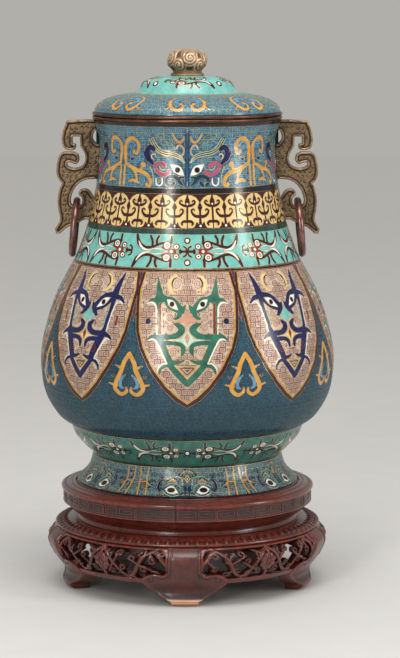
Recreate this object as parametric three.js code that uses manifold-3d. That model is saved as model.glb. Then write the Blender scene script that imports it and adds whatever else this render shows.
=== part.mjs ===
// Lidded cloisonne vase on a carved stand with five legs.
// Millimetres, +Z up, origin on the floor under the vase's axis, front towards -Y.

import * as THREE from 'three';
import { mergeVertices } from 'three/addons/utils/BufferGeometryUtils.js';
import Module from 'manifold-3d';

const wasm = await Module();
wasm.setup();

// Fits
const seatGap = 0.3;          // between pieces that rest on or are let into one another
const flangeClearance = 1.0;  // cover's collar inside the mouth
const facets = 36;            // sides of every turned piece of the vase
const fineFacets = 40;        // sides of the stand's rings, a multiple of the leg count
const smallFacets = 12;       // sides of rivets, stud and washer

// Stand
const legCount = 5;
const standTurn = -1.2;         // degrees that the stand is turned under the vase
const rimJointTurn = 68;        // degrees from the front leg to the first joint of the rim
const padInnerRadius = 99;
const padOuterRadius = 112;
const toeRadius = 117.5;
const toeHeight = 4.8;
const ankleRadius = 114;
const ankleHeight = 14;
const ankleThickness = 12;
const kneeRadius = 130.5;       // widest swell of the legs
const kneeHeight = 45;
const legTopRadius = 121.5;
const legThickness = 13.5;
const apronSetback = 1.2;       // apron face behind the leg face
const apronThickness = 7;
const apronBottom = 20.5;
const legHeight = 55;
const legHalfWidth = 14.6;
const padHalfWidth = 12.1;
const lobeHalfWidth = 38.5;     // spread of the scrolled brackets at the leg's foot
const lobeBottom = 21.5;
const lobeTop = 30.4;
const tenonWidth = 14;
const tenonHeight = 6;
const tenonLength = 7;
const windowBottomRail = 5.5;   // wood left under the window
const windowTopRail = 2.8;
const windowStile = 2.6;        // wood left between the window and the leg
const windowCorner = 5;
const vineWidth = 4.2;
const vineWaves = 2.5;
const flowerRadius = 8.5;
const leafRadius = 4.4;
const railWidth = 16.7;         // across the rail behind the legs
const railHeight = 10;          // depth of the rail behind the legs
const shoulderLip = 2.4;
const shoulderRise = 3.4;
const waistSetback = 19.8;      // waist behind the tops of the legs
const waistWidth = 10.7;
const waistHeight = 5.8;
const waistCove = 1.4;
const rimRadius = 116.2;
const rimInnerRadius = 103.4;
const rimLedgeRadius = 88;
const rimOgeeHeight = 9;
const rimBandHeight = 11.6;
const rimBandSetback = 1.3;
const rimLipHeight = 3;
const rimCrown = 3.4;           // rise of the rim from its outer lip to its inner edge
const boardThickness = 5.2;
const boardRecess = 2;          // board below the rim's inner edge

// Vase
const wall = 2.2;
const footRadius = 102.2;
const footEdge = 3.4;
const footHeight = 29;
const waistOfVase = 87;
const bandHeight = 27.4;        // swelling band between foot and belly
const bandRadius = 104.6;
const hipRadius = 107.7;
const bellyRise = 60.5;         // from the hip up to the widest place
const bellyRadius = 134.5;
const shoulderHeight = 87;      // from the widest place up to the top of the belly
const shoulderRadius = 104.7;
const collarHeight = 48.5;      // from there up to the foot of the dark neck band
const throatHeight = 56.5;
const throatRadius = 80;       // narrowest place of the neck
const collarSpread = 7.3;
const collarRadius = throatRadius + collarSpread;
const lipHeight = 25.2;
const mouthFlare = 5.1;         // mouth beyond the throat
const mouthRadius = throatRadius + mouthFlare;
const beadHeight = 3;
const beadOverhang = 1.4;
const basePlateThickness = 2;

// Cover
const lidWall = 2;
const lidHeight = 16.8;         // from the bead up to the step
const lidStepRadius = 47.5;
const domeRadius = 45.5;
const domeHeight = 15.6;
const domeTopRadius = 15.5;
const flangeDepth = 9.4;        // collar below the bead
const flangeWall = 2;

// Finial and its fastening
const finialHeight = 24.6;
const finialRadius = 18.2;
const finialNeck = 12.8;
const finialBase = 15.2;
const studRadius = 3;
const studInFinial = 11;
const studHole = 0.3;
const washerRadius = 9;
const washerThickness = 1.6;
const nutRadius = 6.5;
const nutHeight = 5;
const studTail = 2;

// Handles and rings
const handleThickness = 11;
const handleHeight = 85.6;      // top edge above the point that the outline is drawn from
const handleReach = 41;         // tip of the tail beyond the throat
const handleDrop = 1.0;         // top edge below the mouth bead
const rivetRadius = 2.2;
const rivetHeadRadius = 4.6;
const rivetHeadHeight = 2.2;
const rivetInHandle = 5.5;
const rivetHeights = { upper: 46, lower: 4.5 };
const ringRadius = 24.5;        // to the middle of its bar
const ringBar = 3.25;
const ringPivotOut = 20.8;
const ringPivotUp = 11.9;
const bridgeSag = 1.3;          // bridge of the handle under the ring's bar

// Radii of the stand that follow the tops of its legs
const railRadius = legTopRadius - legThickness - seatGap;
const railInnerRadius = railRadius - railWidth;
const waistRadius = legTopRadius - waistSetback;
const waistInnerRadius = waistRadius - waistWidth;

// Heights of the stack, from the floor up
const windowBottom = apronBottom + windowBottomRail;
const windowTop = legHeight - windowTopRail;
const shoulderTop = legHeight + seatGap + shoulderLip + shoulderRise;
const waistBottom = shoulderTop + seatGap;
const rimBottom = waistBottom + waistHeight + seatGap;
const rimBand = rimBottom + rimOgeeHeight;
const rimLip = rimBand + rimBandHeight;
const rimTop = rimLip + rimLipHeight + rimCrown;
const boardTop = rimTop - boardRecess;
const footBottom = boardTop + seatGap;
const shellBottom = footBottom + footHeight + seatGap;
const hip = shellBottom + bandHeight;
const belly = hip + bellyRise;
const shoulder = belly + shoulderHeight;
const collar = shoulder + collarHeight;
const throat = collar + throatHeight;
const shellTop = throat + lipHeight;
const mouthBead = shellTop + seatGap;
const lidBead = mouthBead + beadHeight + seatGap;
const lidBottom = lidBead + beadHeight + seatGap;
const lidStep = lidBottom + lidHeight;
const lidTop = lidStep + domeHeight;
const handleOrigin = mouthBead - handleDrop - handleHeight;

// Colours from the photograph
const finishes = {
  enamel: { color: 0x3f7896, roughness: 0.22, metalness: 0.1 },
  turquoise: { color: 0x6fb5aa, roughness: 0.22, metalness: 0.1 },
  gilt: { color: 0xb39a74, roughness: 0.38, metalness: 1 },
  bronze: { color: 0x6b4430, roughness: 0.4, metalness: 1 },
  copper: { color: 0x7a5348, roughness: 0.35, metalness: 1 },
  wood: { color: 0x5e2a1f, roughness: 0.35, metalness: 0 },
};

// Solids
function solidOf(geometry) {
  const bare = geometry.clone();
  bare.deleteAttribute('normal');
  bare.deleteAttribute('uv');
  const merged = mergeVertices(bare, 1e-4);
  return new wasm.Manifold(new wasm.Mesh({
    numProp: 3,
    vertProperties: new Float32Array(merged.attributes.position.array),
    triVerts: new Uint32Array(merged.index.array),
  }));
}

function geometryOf(solid) {
  const mesh = solid.getMesh();
  const geometry = new THREE.BufferGeometry();
  geometry.setAttribute('position', new THREE.BufferAttribute(mesh.vertProperties, 3));
  geometry.setIndex(new THREE.BufferAttribute(mesh.triVerts, 1));
  geometry.computeVertexNormals();
  return geometry;
}

function piece(name, geometry, finish) {
  const mesh = new THREE.Mesh(geometry, new THREE.MeshStandardMaterial(finishes[finish]));
  mesh.name = name;
  return mesh;
}

// A profile is a list of [radius, height]. It turns about Z when it is lathed.
// A ring's profile is walked with the metal on its left and closes on itself.
function turned(profile, sides = facets) {
  const points = profile.map(([radius, height]) => new THREE.Vector2(radius, height));
  const geometry = new THREE.LatheGeometry(points, sides);
  geometry.rotateX(Math.PI / 2);
  return geometry;
}

const ringProfile = (profile) => [...profile, profile[0]];
const turnedRing = (profile, sides) => turned(ringProfile(profile), sides);

// Points of a smooth curve through stations
function smooth(stations, steps) {
  const curve = new THREE.SplineCurve(stations.map(([x, y]) => new THREE.Vector2(x, y)));
  return curve.getPoints(steps).map((point) => [point.x, point.y]);
}

function bezier(start, pullStart, pullEnd, end, steps) {
  const curve = new THREE.CubicBezierCurve(
    new THREE.Vector2(...start), new THREE.Vector2(...pullStart),
    new THREE.Vector2(...pullEnd), new THREE.Vector2(...end));
  return curve.getPoints(steps).map((point) => [point.x, point.y]);
}

// The same curve moved inwards by a wall, square to itself
function inset(profile, distance) {
  return profile.map(([radius, height], index) => {
    const before = profile[Math.max(index - 1, 0)];
    const after = profile[Math.min(index + 1, profile.length - 1)];
    const run = after[0] - before[0];
    const rise = after[1] - before[1];
    const length = Math.hypot(run, rise);
    return [radius - (distance * rise) / length, height + (distance * run) / length];
  });
}

// Fewer points where they don't show, with both ends kept
const thinned = (profile, keepEvery) => profile.filter(
  (point, index) => index % keepEvery === 0 || index === profile.length - 1);

// Radius of a profile at a height
function radiusAt(profile, height) {
  for (let index = 1; index < profile.length; index += 1) {
    const [lowRadius, low] = profile[index - 1];
    const [highRadius, high] = profile[index];
    if (height <= high) {
      return lowRadius + ((highRadius - lowRadius) * (height - low)) / (high - low);
    }
  }
  return profile[profile.length - 1][0];
}

// Outline anticlockwise and openings clockwise, as an extrusion expects them
function woundShape(shape, curveSegments) {
  const { shape: outline, holes } = shape.extractPoints(curveSegments);
  const isClockwise = THREE.ShapeUtils.isClockWise;
  const wound = new THREE.Shape(isClockwise(outline) ? outline.reverse() : outline);
  wound.holes = holes.map((hole) => new THREE.Path(isClockwise(hole) ? hole : hole.reverse()));
  return wound;
}

// A flat outline in X and height, pushed along Y from `near` to `far`
function slab(shape, near, far, curveSegments = 2) {
  const geometry = new THREE.ExtrudeGeometry(woundShape(shape, curveSegments), {
    depth: far - near, bevelEnabled: false, steps: 1,
  });
  geometry.rotateX(Math.PI / 2);
  geometry.translate(0, far, 0);
  return geometry;
}

function mirroredShape(half) {
  const shape = new THREE.Shape();
  const points = [...half, ...half.map(([x, y]) => [-x, y]).reverse()];
  shape.setFromPoints(points.map(([x, y]) => new THREE.Vector2(x, y)));
  return shape;
}

function barAlongX(radius, start, end, sides = smallFacets) {
  const geometry = new THREE.CylinderGeometry(radius, radius, end - start, sides);
  geometry.rotateZ(-Math.PI / 2);
  geometry.translate((start + end) / 2, 0, 0);
  return geometry;
}

// Vase: copper shell with its neck, belly and lower band
const bandProfile = bezier(
  [waistOfVase, shellBottom], [waistOfVase + 9, shellBottom + bandHeight * 0.32],
  [bandRadius + 0.6, hip - bandHeight * 0.42], [hipRadius - 1.2, hip - 1.4], 5);
const bellyProfile = smooth([
  [hipRadius, hip],
  [hipRadius + 0.44 * (bellyRadius - hipRadius), hip + 0.15 * bellyRise],
  [hipRadius + 0.87 * (bellyRadius - hipRadius), hip + 0.5 * bellyRise],
  [bellyRadius, belly],
  [bellyRadius - 0.16 * (bellyRadius - shoulderRadius), belly + 0.33 * shoulderHeight],
  [bellyRadius - 0.51 * (bellyRadius - shoulderRadius), belly + 0.68 * shoulderHeight],
  [shoulderRadius, shoulder],
  [collarRadius + 0.55 * (shoulderRadius - collarRadius), shoulder + 0.37 * collarHeight],
  [collarRadius, collar],
  [throatRadius + 0.33 * (collarRadius - throatRadius), collar + 0.5 * throatHeight],
  [throatRadius, throat],
  [throatRadius + 0.16 * (mouthRadius - throatRadius), throat + 0.45 * lipHeight],
  [mouthRadius, shellTop],
], 17);
const shellProfile = [...bandProfile, ...bellyProfile];

function rivetPlace(heightOnHandle) {
  const height = handleOrigin + heightOnHandle;
  const step = rivetHeadRadius;
  const slope = (radiusAt(shellProfile, height + step) - radiusAt(shellProfile, height - step))
    / (2 * step);
  return { height, radius: radiusAt(shellProfile, height), lean: Math.atan(slope) };
}

// Turns a bar that lies along X so that it stands square on the sloping neck
function seatOnNeck(geometry, place, side) {
  geometry.rotateY(place.lean);
  geometry.translate(place.radius, 0, place.height);
  if (side < 0) geometry.rotateZ(Math.PI);
  return geometry;
}

function rivetHole(place, side) {
  return solidOf(seatOnNeck(
    barAlongX(rivetRadius + seatGap, -4 * wall, rivetInHandle + 2 * seatGap), place, side));
}

const rivetPlaces = Object.entries(rivetHeights).map(
  ([level, height]) => ({ level, place: rivetPlace(height) }));

function vaseShell() {
  const inside = thinned(inset(shellProfile, wall), 3).reverse();
  const flatInside = inside.map(([radius, height]) => [
    radius, Math.min(Math.max(height, shellBottom), shellTop)]);
  let shell = solidOf(turnedRing([...shellProfile, ...flatInside]));
  for (const side of [-1, 1]) {
    for (const { place } of rivetPlaces) shell = shell.subtract(rivetHole(place, side));
  }
  return piece('vase_shell', geometryOf(shell), 'enamel');
}

function footRing() {
  const outside = [
    [footRadius, footBottom], [footRadius, footBottom + footEdge],
    ...bezier([footRadius - 0.6, footBottom + footEdge], [footRadius - 6, footBottom + 10.5],
      [waistOfVase + 1.2, footBottom + 12.5], [waistOfVase, footBottom + footHeight], 6).slice(1),
  ];
  const inside = thinned(outside.slice(1), 2).reverse().map(
    ([radius, height]) => [radius - wall, height]);
  return piece('foot_ring',
    turnedRing([...outside, ...inside, [footRadius - wall, footBottom]]), 'enamel');
}

function basePlate() {
  const top = shellBottom + basePlateThickness;
  const radius = radiusAt(shellProfile, shellBottom) - wall - seatGap - 0.3;
  return piece('base_plate',
    turned([[0, shellBottom], [radius, shellBottom], [radius, top], [0, top]]), 'gilt');
}

// A bead is a half-round bar bent to a ring
function bead(name, bottom, innerRadius, finish) {
  const outer = mouthRadius + beadOverhang;
  const round = bezier([outer - 1, bottom], [outer + 0.3, bottom + 0.2],
    [outer + 0.3, bottom + beadHeight - 0.2], [outer - 1, bottom + beadHeight], 3);
  return piece(name, turnedRing([
    ...round, [innerRadius, bottom + beadHeight], [innerRadius, bottom]]), finish);
}

// Handles: flat castings sawn to an archaistic scroll. The outline is drawn from the throat
// outwards, in hundredths of the handle's reach and of its height.
const onHandle = (out, up) => [(out * handleReach) / 100, (up * handleHeight) / 100];

function drawThrough(path, ...places) {
  path.splineThru(places.map(([out, up]) => new THREE.Vector2(...onHandle(out, up))));
}

function drawTo(path, ...places) {
  for (const [out, up] of places) path.lineTo(...onHandle(out, up));
}

const inNeck = -14;            // how far the outline runs into the neck before it is cut

function handleShape() {
  const shape = new THREE.Shape();
  shape.moveTo(...onHandle(inNeck, 100));
  drawTo(shape, [28.5, 100], [72.7, 98.8], [74.6, 95.3]);
  drawThrough(shape, [80.2, 88.8], [83.9, 79.4], [80.2, 71.3], [70.7, 68], [58, 67.8],
    [52.2, 70.3], [52.2, 74.1]);
  drawTo(shape, [59.5, 75], [59.5, 82.2], [43.2, 82.2], [42.4, 71.8]);
  drawThrough(shape, [33.7, 65.4], [31, 57.8], [37.6, 51.2], [54.9, 48.4], [69.8, 50.5],
    [71.2, 54.4], [62.4, 54.4], [52.7, 52.8], [44.9, 56.8], [46.8, 63.1]);
  drawTo(shape, [56.6, 65.7], [79.3, 65.7]);
  drawThrough(shape, [88.8, 62.4], [94.1, 53.7], [95.6, 44.4], [91.7, 36.9], [83.4, 32.2]);
  drawThrough(shape, [90, 25], [93.2, 15.2], [91.7, 3.5], [88.3, -5.8], [93.7, -11.9],
    [100, -16.6]);
  drawTo(shape, [97.1, -21.3], [88.8, -21.3]);
  drawThrough(shape, [72, -14.5], [54.1, -11.2], [34.1, -6.3]);
  drawTo(shape, [4.9, -6.3], [inNeck, 0]);
  shape.holes.push(ringOpening(), throatOpening());
  return shape;
}

// Opening for the ring, with the tongue below and the bridge under the ring
function ringOpening() {
  const path = new THREE.Path();
  const bridge = ringPivotUp - ringBar - bridgeSag;
  const bridgeUp = (100 * bridge) / handleHeight;
  path.moveTo(...onHandle(inNeck + 2, 36.7));
  drawThrough(path, [17.1, 36.9], [34.1, 35.5], [49.3, 30.8], [59.5, 23.4], [64.6, 15.2],
    [63.9, bridgeUp + 1.9]);
  drawTo(path, [59.5, bridgeUp], [42.9, bridgeUp], [39, bridgeUp + 2.8]);
  drawThrough(path, [39.5, 17.1], [46.8, 20.3], [43.4, 25], [31.7, 26.4], [21.5, 23.8],
    [12.2, 16.4]);
  drawTo(path, [inNeck + 2, 16.4]);
  return path;
}

// Small opening under the top arm, against the neck
function throatOpening() {
  const path = new THREE.Path();
  path.moveTo(...onHandle(inNeck + 2, 90.4));
  drawThrough(path, [6.3, 89.3], [13.2, 85.3], [14.6, 80.1], [9.8, 76.4], [4.4, 74.1],
    [inNeck + 2, 72]);
  return path;
}

// What the handles are cut back to: the neck, grown by the seat gap
function neckCutter() {
  const grown = bellyProfile.filter(([, height]) => height > shoulder - 10).map(
    ([radius, height]) => [radius + seatGap, height]);
  const [topRadius, topHeight] = grown[grown.length - 1];
  return solidOf(turned([
    [0, grown[0][1]], ...grown, [topRadius, topHeight + 10], [0, topHeight + 10]]));
}

const neck = neckCutter();

function handle(name, side) {
  const plate = slab(handleShape(), -handleThickness / 2, handleThickness / 2, 1);
  plate.translate(throatRadius, 0, handleOrigin);
  if (side < 0) plate.rotateZ(Math.PI);
  let solid = solidOf(plate).subtract(neck);
  for (const { place } of rivetPlaces) solid = solid.subtract(rivetHole(place, side));
  return piece(name, geometryOf(solid), 'gilt');
}

// Rivets: shank through the neck into the handle, domed head inside the neck
function rivet(name, place, side) {
  const headFace = -wall - seatGap - (rivetHeadRadius ** 2) / (2 * (place.radius - wall));
  const shank = solidOf(barAlongX(rivetRadius, headFace - rivetHeadHeight / 2, rivetInHandle));
  const head = new THREE.CylinderGeometry(
    rivetHeadRadius, rivetHeadRadius * 0.55, rivetHeadHeight, smallFacets);
  head.rotateZ(-Math.PI / 2);
  head.translate(headFace - rivetHeadHeight / 2, 0, 0);
  const geometry = geometryOf(shank.add(solidOf(head)));
  return piece(name, seatOnNeck(geometry, place, side), 'copper');
}

// Distance from a point to a profile, taken along its straight stretches, and negative inside it
function distanceTo(profile, out, up) {
  const point = new THREE.Vector3(out, up, 0);
  const nearest = new THREE.Vector3();
  const stretches = profile.slice(1).map(([radius, height], index) => new THREE.Line3(
    new THREE.Vector3(...profile[index], 0), new THREE.Vector3(radius, height, 0)));
  const distance = Math.min(...stretches.map(
    (stretch) => stretch.closestPointToPoint(point, true, nearest).distanceTo(point)));
  return out < radiusAt(profile, up) ? -distance : distance;
}

// The loose ring hangs on the bridge of the handle's opening and leans on the neck:
// it is swung out until it just clears the wall
function ringLean() {
  const pivotOut = throatRadius + ringPivotOut;
  const pivotUp = handleOrigin + ringPivotUp;
  const step = 0.1;
  const clearance = (degrees) => {
    const angle = THREE.MathUtils.degToRad(degrees);
    return distanceTo(shellProfile, pivotOut + 2 * ringRadius * Math.sin(angle),
      pivotUp - 2 * ringRadius * Math.cos(angle)) - ringBar;
  };
  let lean = 0;
  while (lean < 45 && clearance(lean) < seatGap) lean += step;
  return lean;
}

function ring(name, side) {
  const geometry = new THREE.TorusGeometry(ringRadius, ringBar, 8, 22);
  geometry.rotateY(Math.PI / 2);
  geometry.translate(0, 0, -ringRadius);
  const mesh = piece(name, geometry, 'copper');
  mesh.position.set(side * (throatRadius + ringPivotOut), 0, handleOrigin + ringPivotUp);
  mesh.rotation.y = -side * THREE.MathUtils.degToRad(ringLean());
  return mesh;
}

// Cover
function lidShell() {
  const edge = mouthRadius - 0.5;
  const brim = bezier([edge, lidBottom], [edge - 1, lidBottom + lidHeight * 0.62],
    [edge - 16, lidBottom + lidHeight * 0.86], [lidStepRadius, lidStep], 6);
  const dome = smooth([[domeRadius, lidStep + 1.4],
    [0.91 * domeRadius, lidStep + 0.51 * domeHeight],
    [0.82 * domeRadius, lidStep + 0.74 * domeHeight],
    [0.58 * domeRadius, lidStep + 0.94 * domeHeight], [domeTopRadius, lidTop]], 6);
  const outside = [...brim, ...dome];
  const inside = thinned(inset(outside, lidWall), 3).map(([radius, height]) => [
    radius, Math.min(Math.max(height, lidBottom), lidTop - lidWall)]);
  const hole = studRadius + studHole;
  return piece('lid_shell', turnedRing([
    ...outside, [hole, lidTop], [hole, lidTop - lidWall], ...inside.reverse()]), 'turquoise');
}

const flangeRadius = radiusAt(shellProfile, mouthBead - flangeDepth) - wall - flangeClearance;

function lidFlange() {
  const bottom = mouthBead - flangeDepth;
  const top = lidBead + beadHeight;
  return piece('lid_flange', turnedRing([
    [flangeRadius, bottom], [flangeRadius, top],
    [flangeRadius - flangeWall, top], [flangeRadius - flangeWall, bottom]]), 'bronze');
}

function finial() {
  const base = lidTop + seatGap;
  const hole = studRadius + studHole;
  const outside = [
    [finialBase, base], [finialBase, base + 1.2],
    ...smooth([[finialNeck, base + 2.6], [finialRadius - 1.6, base + 0.34 * finialHeight],
      [finialRadius, base + 0.58 * finialHeight], [finialRadius - 2.4, base + 0.84 * finialHeight],
      [finialRadius * 0.45, base + finialHeight]], 8),
  ];
  return piece('finial', turned([
    [0, base + studInFinial + seatGap], [hole, base + studInFinial + seatGap], [hole, base],
    ...outside, [0, base + finialHeight]], 20), 'gilt');
}

const underLid = lidTop - lidWall - seatGap;
const nutTop = underLid - washerThickness - seatGap;

function finialStud() {
  const top = lidTop + seatGap + studInFinial;
  const bottom = nutTop - nutHeight - studTail;
  return piece('finial_stud', turned([
    [0, bottom], [studRadius, bottom], [studRadius, top], [0, top]], smallFacets), 'bronze');
}

function finialWasher() {
  const hole = studRadius + studHole;
  const bottom = underLid - washerThickness;
  return piece('finial_washer', turnedRing([
    [washerRadius, bottom], [washerRadius, underLid], [hole, underLid], [hole, bottom],
  ], 2 * smallFacets), 'bronze');
}

function finialNut() {
  const shape = new THREE.Shape();
  for (let corner = 0; corner < 6; corner += 1) {
    const angle = (corner * Math.PI) / 3;
    shape[corner ? 'lineTo' : 'moveTo'](nutRadius * Math.cos(angle), nutRadius * Math.sin(angle));
  }
  const bore = new THREE.Path();
  bore.absarc(0, 0, studRadius + studHole, 0, 2 * Math.PI, true);
  shape.holes.push(bore);
  const geometry = new THREE.ExtrudeGeometry(shape, {
    depth: nutHeight, bevelEnabled: false, curveSegments: smallFacets,
  });
  geometry.translate(0, 0, nutTop - nutHeight);
  return piece('finial_nut', geometry, 'bronze');
}

// Stand: rings first
function shoulderRingSolid() {
  const bottom = legHeight + seatGap;
  return solidOf(turnedRing([
    [railInnerRadius, bottom - railHeight], [railRadius, bottom - railHeight],
    [railRadius, bottom], [legTopRadius, bottom], [legTopRadius + 0.4, bottom + shoulderLip / 2],
    [legTopRadius - 0.6, bottom + shoulderLip], [waistRadius + 3, shoulderTop],
    [railInnerRadius, shoulderTop]], fineFacets));
}

function mortice() {
  const start = legTopRadius - legThickness + seatGap;
  const end = start - 2 * seatGap - tenonLength - seatGap;
  const height = legHeight - 2 - tenonHeight / 2;
  const box = new THREE.BoxGeometry(
    tenonWidth + 2 * seatGap, start - end, tenonHeight + 2 * seatGap);
  box.translate(0, -(start + end) / 2, height);
  return box;
}

function shoulderRing() {
  let solid = shoulderRingSolid();
  for (let leg = 0; leg < legCount; leg += 1) {
    const cut = mortice();
    cut.rotateZ((leg * 2 * Math.PI) / legCount);
    solid = solid.subtract(solidOf(cut));
  }
  return piece('shoulder_ring', geometryOf(solid), 'wood');
}

function waistRing() {
  const top = waistBottom + waistHeight;
  const cove = smooth([[waistRadius, waistBottom], [waistRadius - waistCove,
    waistBottom + waistHeight / 2], [waistRadius, top]], 2);
  return piece('waist_ring', turnedRing([
    ...cove, [waistInnerRadius, top], [waistInnerRadius, waistBottom]], fineFacets), 'wood');
}

// Rim: one section for five curved segments
function rimRingSolid() {
  const band = rimRadius - rimBandSetback;
  const ogee = bezier([waistRadius + 0.8, rimBottom], [waistRadius + 7, rimBottom + 0.6],
    [band - 6.5, rimBottom + rimOgeeHeight - 2.4], [band, rimBand], 4);
  const crown = bezier([rimRadius, rimLip + rimLipHeight], [rimRadius - 2, rimTop - 0.4],
    [rimInnerRadius + 4, rimTop], [rimInnerRadius, rimTop], 3);
  const ledge = boardTop - boardThickness - seatGap;
  return solidOf(turnedRing([
    ...ogee, [band, rimLip], [rimRadius, rimLip + 0.6], ...crown,
    [rimInnerRadius, ledge], [rimLedgeRadius, ledge], [rimLedgeRadius, rimBottom]], fineFacets));
}

// A wedge between two angles, drawn back from both by half a gap
function sector(startDegrees, endDegrees, reach) {
  const middle = THREE.MathUtils.degToRad((startDegrees + endDegrees) / 2);
  const half = THREE.MathUtils.degToRad((endDegrees - startDegrees) / 2);
  const back = seatGap / 2 / Math.sin(half);
  const shape = new THREE.Shape();
  const corner = (angle, radius) => [
    back * Math.cos(middle) + radius * Math.cos(middle + angle),
    back * Math.sin(middle) + radius * Math.sin(middle + angle)];
  shape.moveTo(...corner(0, 0));
  shape.lineTo(...corner(-half, reach));
  shape.lineTo(...corner(0, reach / Math.cos(half)));
  shape.lineTo(...corner(half, reach));
  const geometry = new THREE.ExtrudeGeometry(shape, { depth: rimTop + 20, bevelEnabled: false });
  return solidOf(geometry);
}

function rimSegments() {
  const whole = rimRingSolid();
  const turn = 360 / legCount;
  return Array.from({ length: legCount }, (unused, index) => {
    const start = rimJointTurn - 90 + index * turn;
    const segment = whole.intersect(sector(start, start + turn, 2 * rimRadius));
    return piece(`tray_rim_${index + 1}`, geometryOf(segment), 'wood');
  });
}

function trayBoard() {
  const radius = rimInnerRadius - seatGap;
  const bottom = boardTop - boardThickness;
  return piece('tray_board', turned([
    [0, bottom], [radius, bottom], [radius, boardTop], [0, boardTop]], fineFacets), 'wood');
}

// Legs and aprons are sawn from one swelling section. `back` draws the face in.
function legFace(back) {
  return smooth([
    [padOuterRadius - back, 0], [toeRadius - back, toeHeight],
    [ankleRadius - back, ankleHeight], [(ankleRadius + kneeRadius) / 2 + 1.5 - back,
      0.45 * ankleHeight + 0.55 * kneeHeight - 3], [kneeRadius - back, kneeHeight],
    [legTopRadius - back, legHeight]], 8);
}

function legSection() {
  const top = legHeight;
  return [
    ...legFace(0), [legTopRadius - legThickness, top],
    [legTopRadius - legThickness, kneeHeight - 6],
    [ankleRadius - ankleThickness, ankleHeight + 3], [padInnerRadius, 0]];
}

// Front outline of a leg. `grow` opens it for cutting what stands against it.
function legOutline(grow) {
  const bracket = smooth([
    [padHalfWidth + 0.6, toeHeight], [0.45 * lobeHalfWidth, toeHeight + 2],
    [0.72 * lobeHalfWidth, 0.5 * (toeHeight + lobeBottom) - 0.6],
    [lobeHalfWidth, lobeBottom], [lobeHalfWidth - 3, lobeTop - 3],
    [0.76 * lobeHalfWidth, lobeTop], [legHalfWidth + 4, lobeTop - 0.6]], 14);
  return [[padHalfWidth, -1], ...bracket, [legHalfWidth, lobeTop + 3],
    [legHalfWidth, legHeight + 1]].map(([x, z]) => [x + grow, z > lobeBottom ? z + grow : z]);
}

function legSolid() {
  const blank = solidOf(turnedRing(legSection(), fineFacets));
  const front = solidOf(slab(mirroredShape(legOutline(0)), -2 * kneeRadius, -padInnerRadius / 2));
  const start = legTopRadius - legThickness + 1;
  const tenon = new THREE.BoxGeometry(tenonWidth, tenonLength + 1, tenonHeight);
  tenon.translate(0, -(start - (tenonLength + 1) / 2), legHeight - 2 - tenonHeight / 2);
  return blank.intersect(front).add(solidOf(tenon));
}

function apronSection() {
  const face = legFace(apronSetback).filter(([, height]) => height > apronBottom);
  const bottomRadius = radiusAt(legFace(apronSetback), apronBottom);
  const outside = [[bottomRadius, apronBottom], ...face];
  const inside = thinned(outside, 2).reverse().map(
    ([radius, height]) => [radius - apronThickness, height]);
  return [...outside, ...inside];
}

// Half of the width between two legs at a height, measured on the apron's face
function clearHalf(height) {
  const radius = radiusAt(legFace(apronSetback), height);
  return radius * Math.sin(Math.PI / legCount - Math.asin(legHalfWidth / radius));
}

// The window keeps its stile beside the swelling legs
const windowHalf = (height) => clearHalf(height) - windowStile;
const windowMiddle = (windowTop + windowBottom) / 2;

function windowShape() {
  const cut = 0.3 * windowCorner;
  return mirroredShape([
    [windowHalf(windowBottom) - windowCorner, windowBottom],
    ...[windowBottom + windowCorner, windowMiddle, windowTop - windowCorner].map(
      (height) => [windowHalf(height), height]),
    [windowHalf(windowTop - cut) - cut, windowTop - cut],
    [windowHalf(windowTop) - windowCorner, windowTop]]);
}

// The vine runs from leg to leg and touches the window's top and bottom in turn
function vineShape() {
  const half = windowHalf(windowMiddle) + 1;
  const swing = (windowTop - windowBottom - vineWidth) / 2 + 1;
  const steps = Math.round(6 * vineWaves);
  const above = [];
  const below = [];
  for (let step = 0; step <= steps; step += 1) {
    const share = step / steps;
    const phase = 2 * Math.PI * vineWaves * share;
    const x = -half + 2 * half * share;
    const slope = (swing * Math.cos(phase) * Math.PI * vineWaves) / half;
    const thick = (vineWidth / 2) * Math.hypot(1, slope);
    above.push(new THREE.Vector2(x, windowMiddle + swing * Math.sin(phase) + thick));
    below.push(new THREE.Vector2(x, windowMiddle + swing * Math.sin(phase) - thick));
  }
  return new THREE.Shape([...below, ...above.reverse()]);
}

// The flower's stem joins it to the rails above and below
function stemShape() {
  return mirroredShape([[vineWidth / 2, windowBottom - 1], [vineWidth / 2, windowTop + 1]]);
}

function disc(x, z, radius) {
  const shape = new THREE.Shape();
  shape.absarc(x, z, radius, 0, 2 * Math.PI, false);
  return shape;
}

function apronSolid() {
  const blank = solidOf(turnedRing(apronSection(), fineFacets));
  const far = -kneeRadius / 2;
  const cutter = (shape, segments = 2) => solidOf(slab(shape, -2 * kneeRadius, far, segments));
  const leafPlace = 0.54 * windowHalf(windowMiddle);
  const vine = cutter(vineShape())
    .add(cutter(stemShape()))
    .add(cutter(disc(0, windowMiddle, flowerRadius), 8))
    .add(cutter(disc(-leafPlace, windowBottom + leafRadius - 0.6, leafRadius), 6))
    .add(cutter(disc(leafPlace, windowTop - leafRadius + 0.6, leafRadius), 6));
  const open = cutter(windowShape()).subtract(vine);
  const halfTurn = Math.PI / legCount;
  const between = sector(-90 - 180 / legCount, -90 + 180 / legCount, 2 * kneeRadius);
  let solid = blank.intersect(between).subtract(open);
  for (const side of [-1, 1]) {
    const leg = slab(mirroredShape(legOutline(seatGap)), -2 * kneeRadius, far);
    leg.rotateZ(side * halfTurn);
    solid = solid.subtract(solidOf(leg));
  }
  return solid;
}

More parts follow.
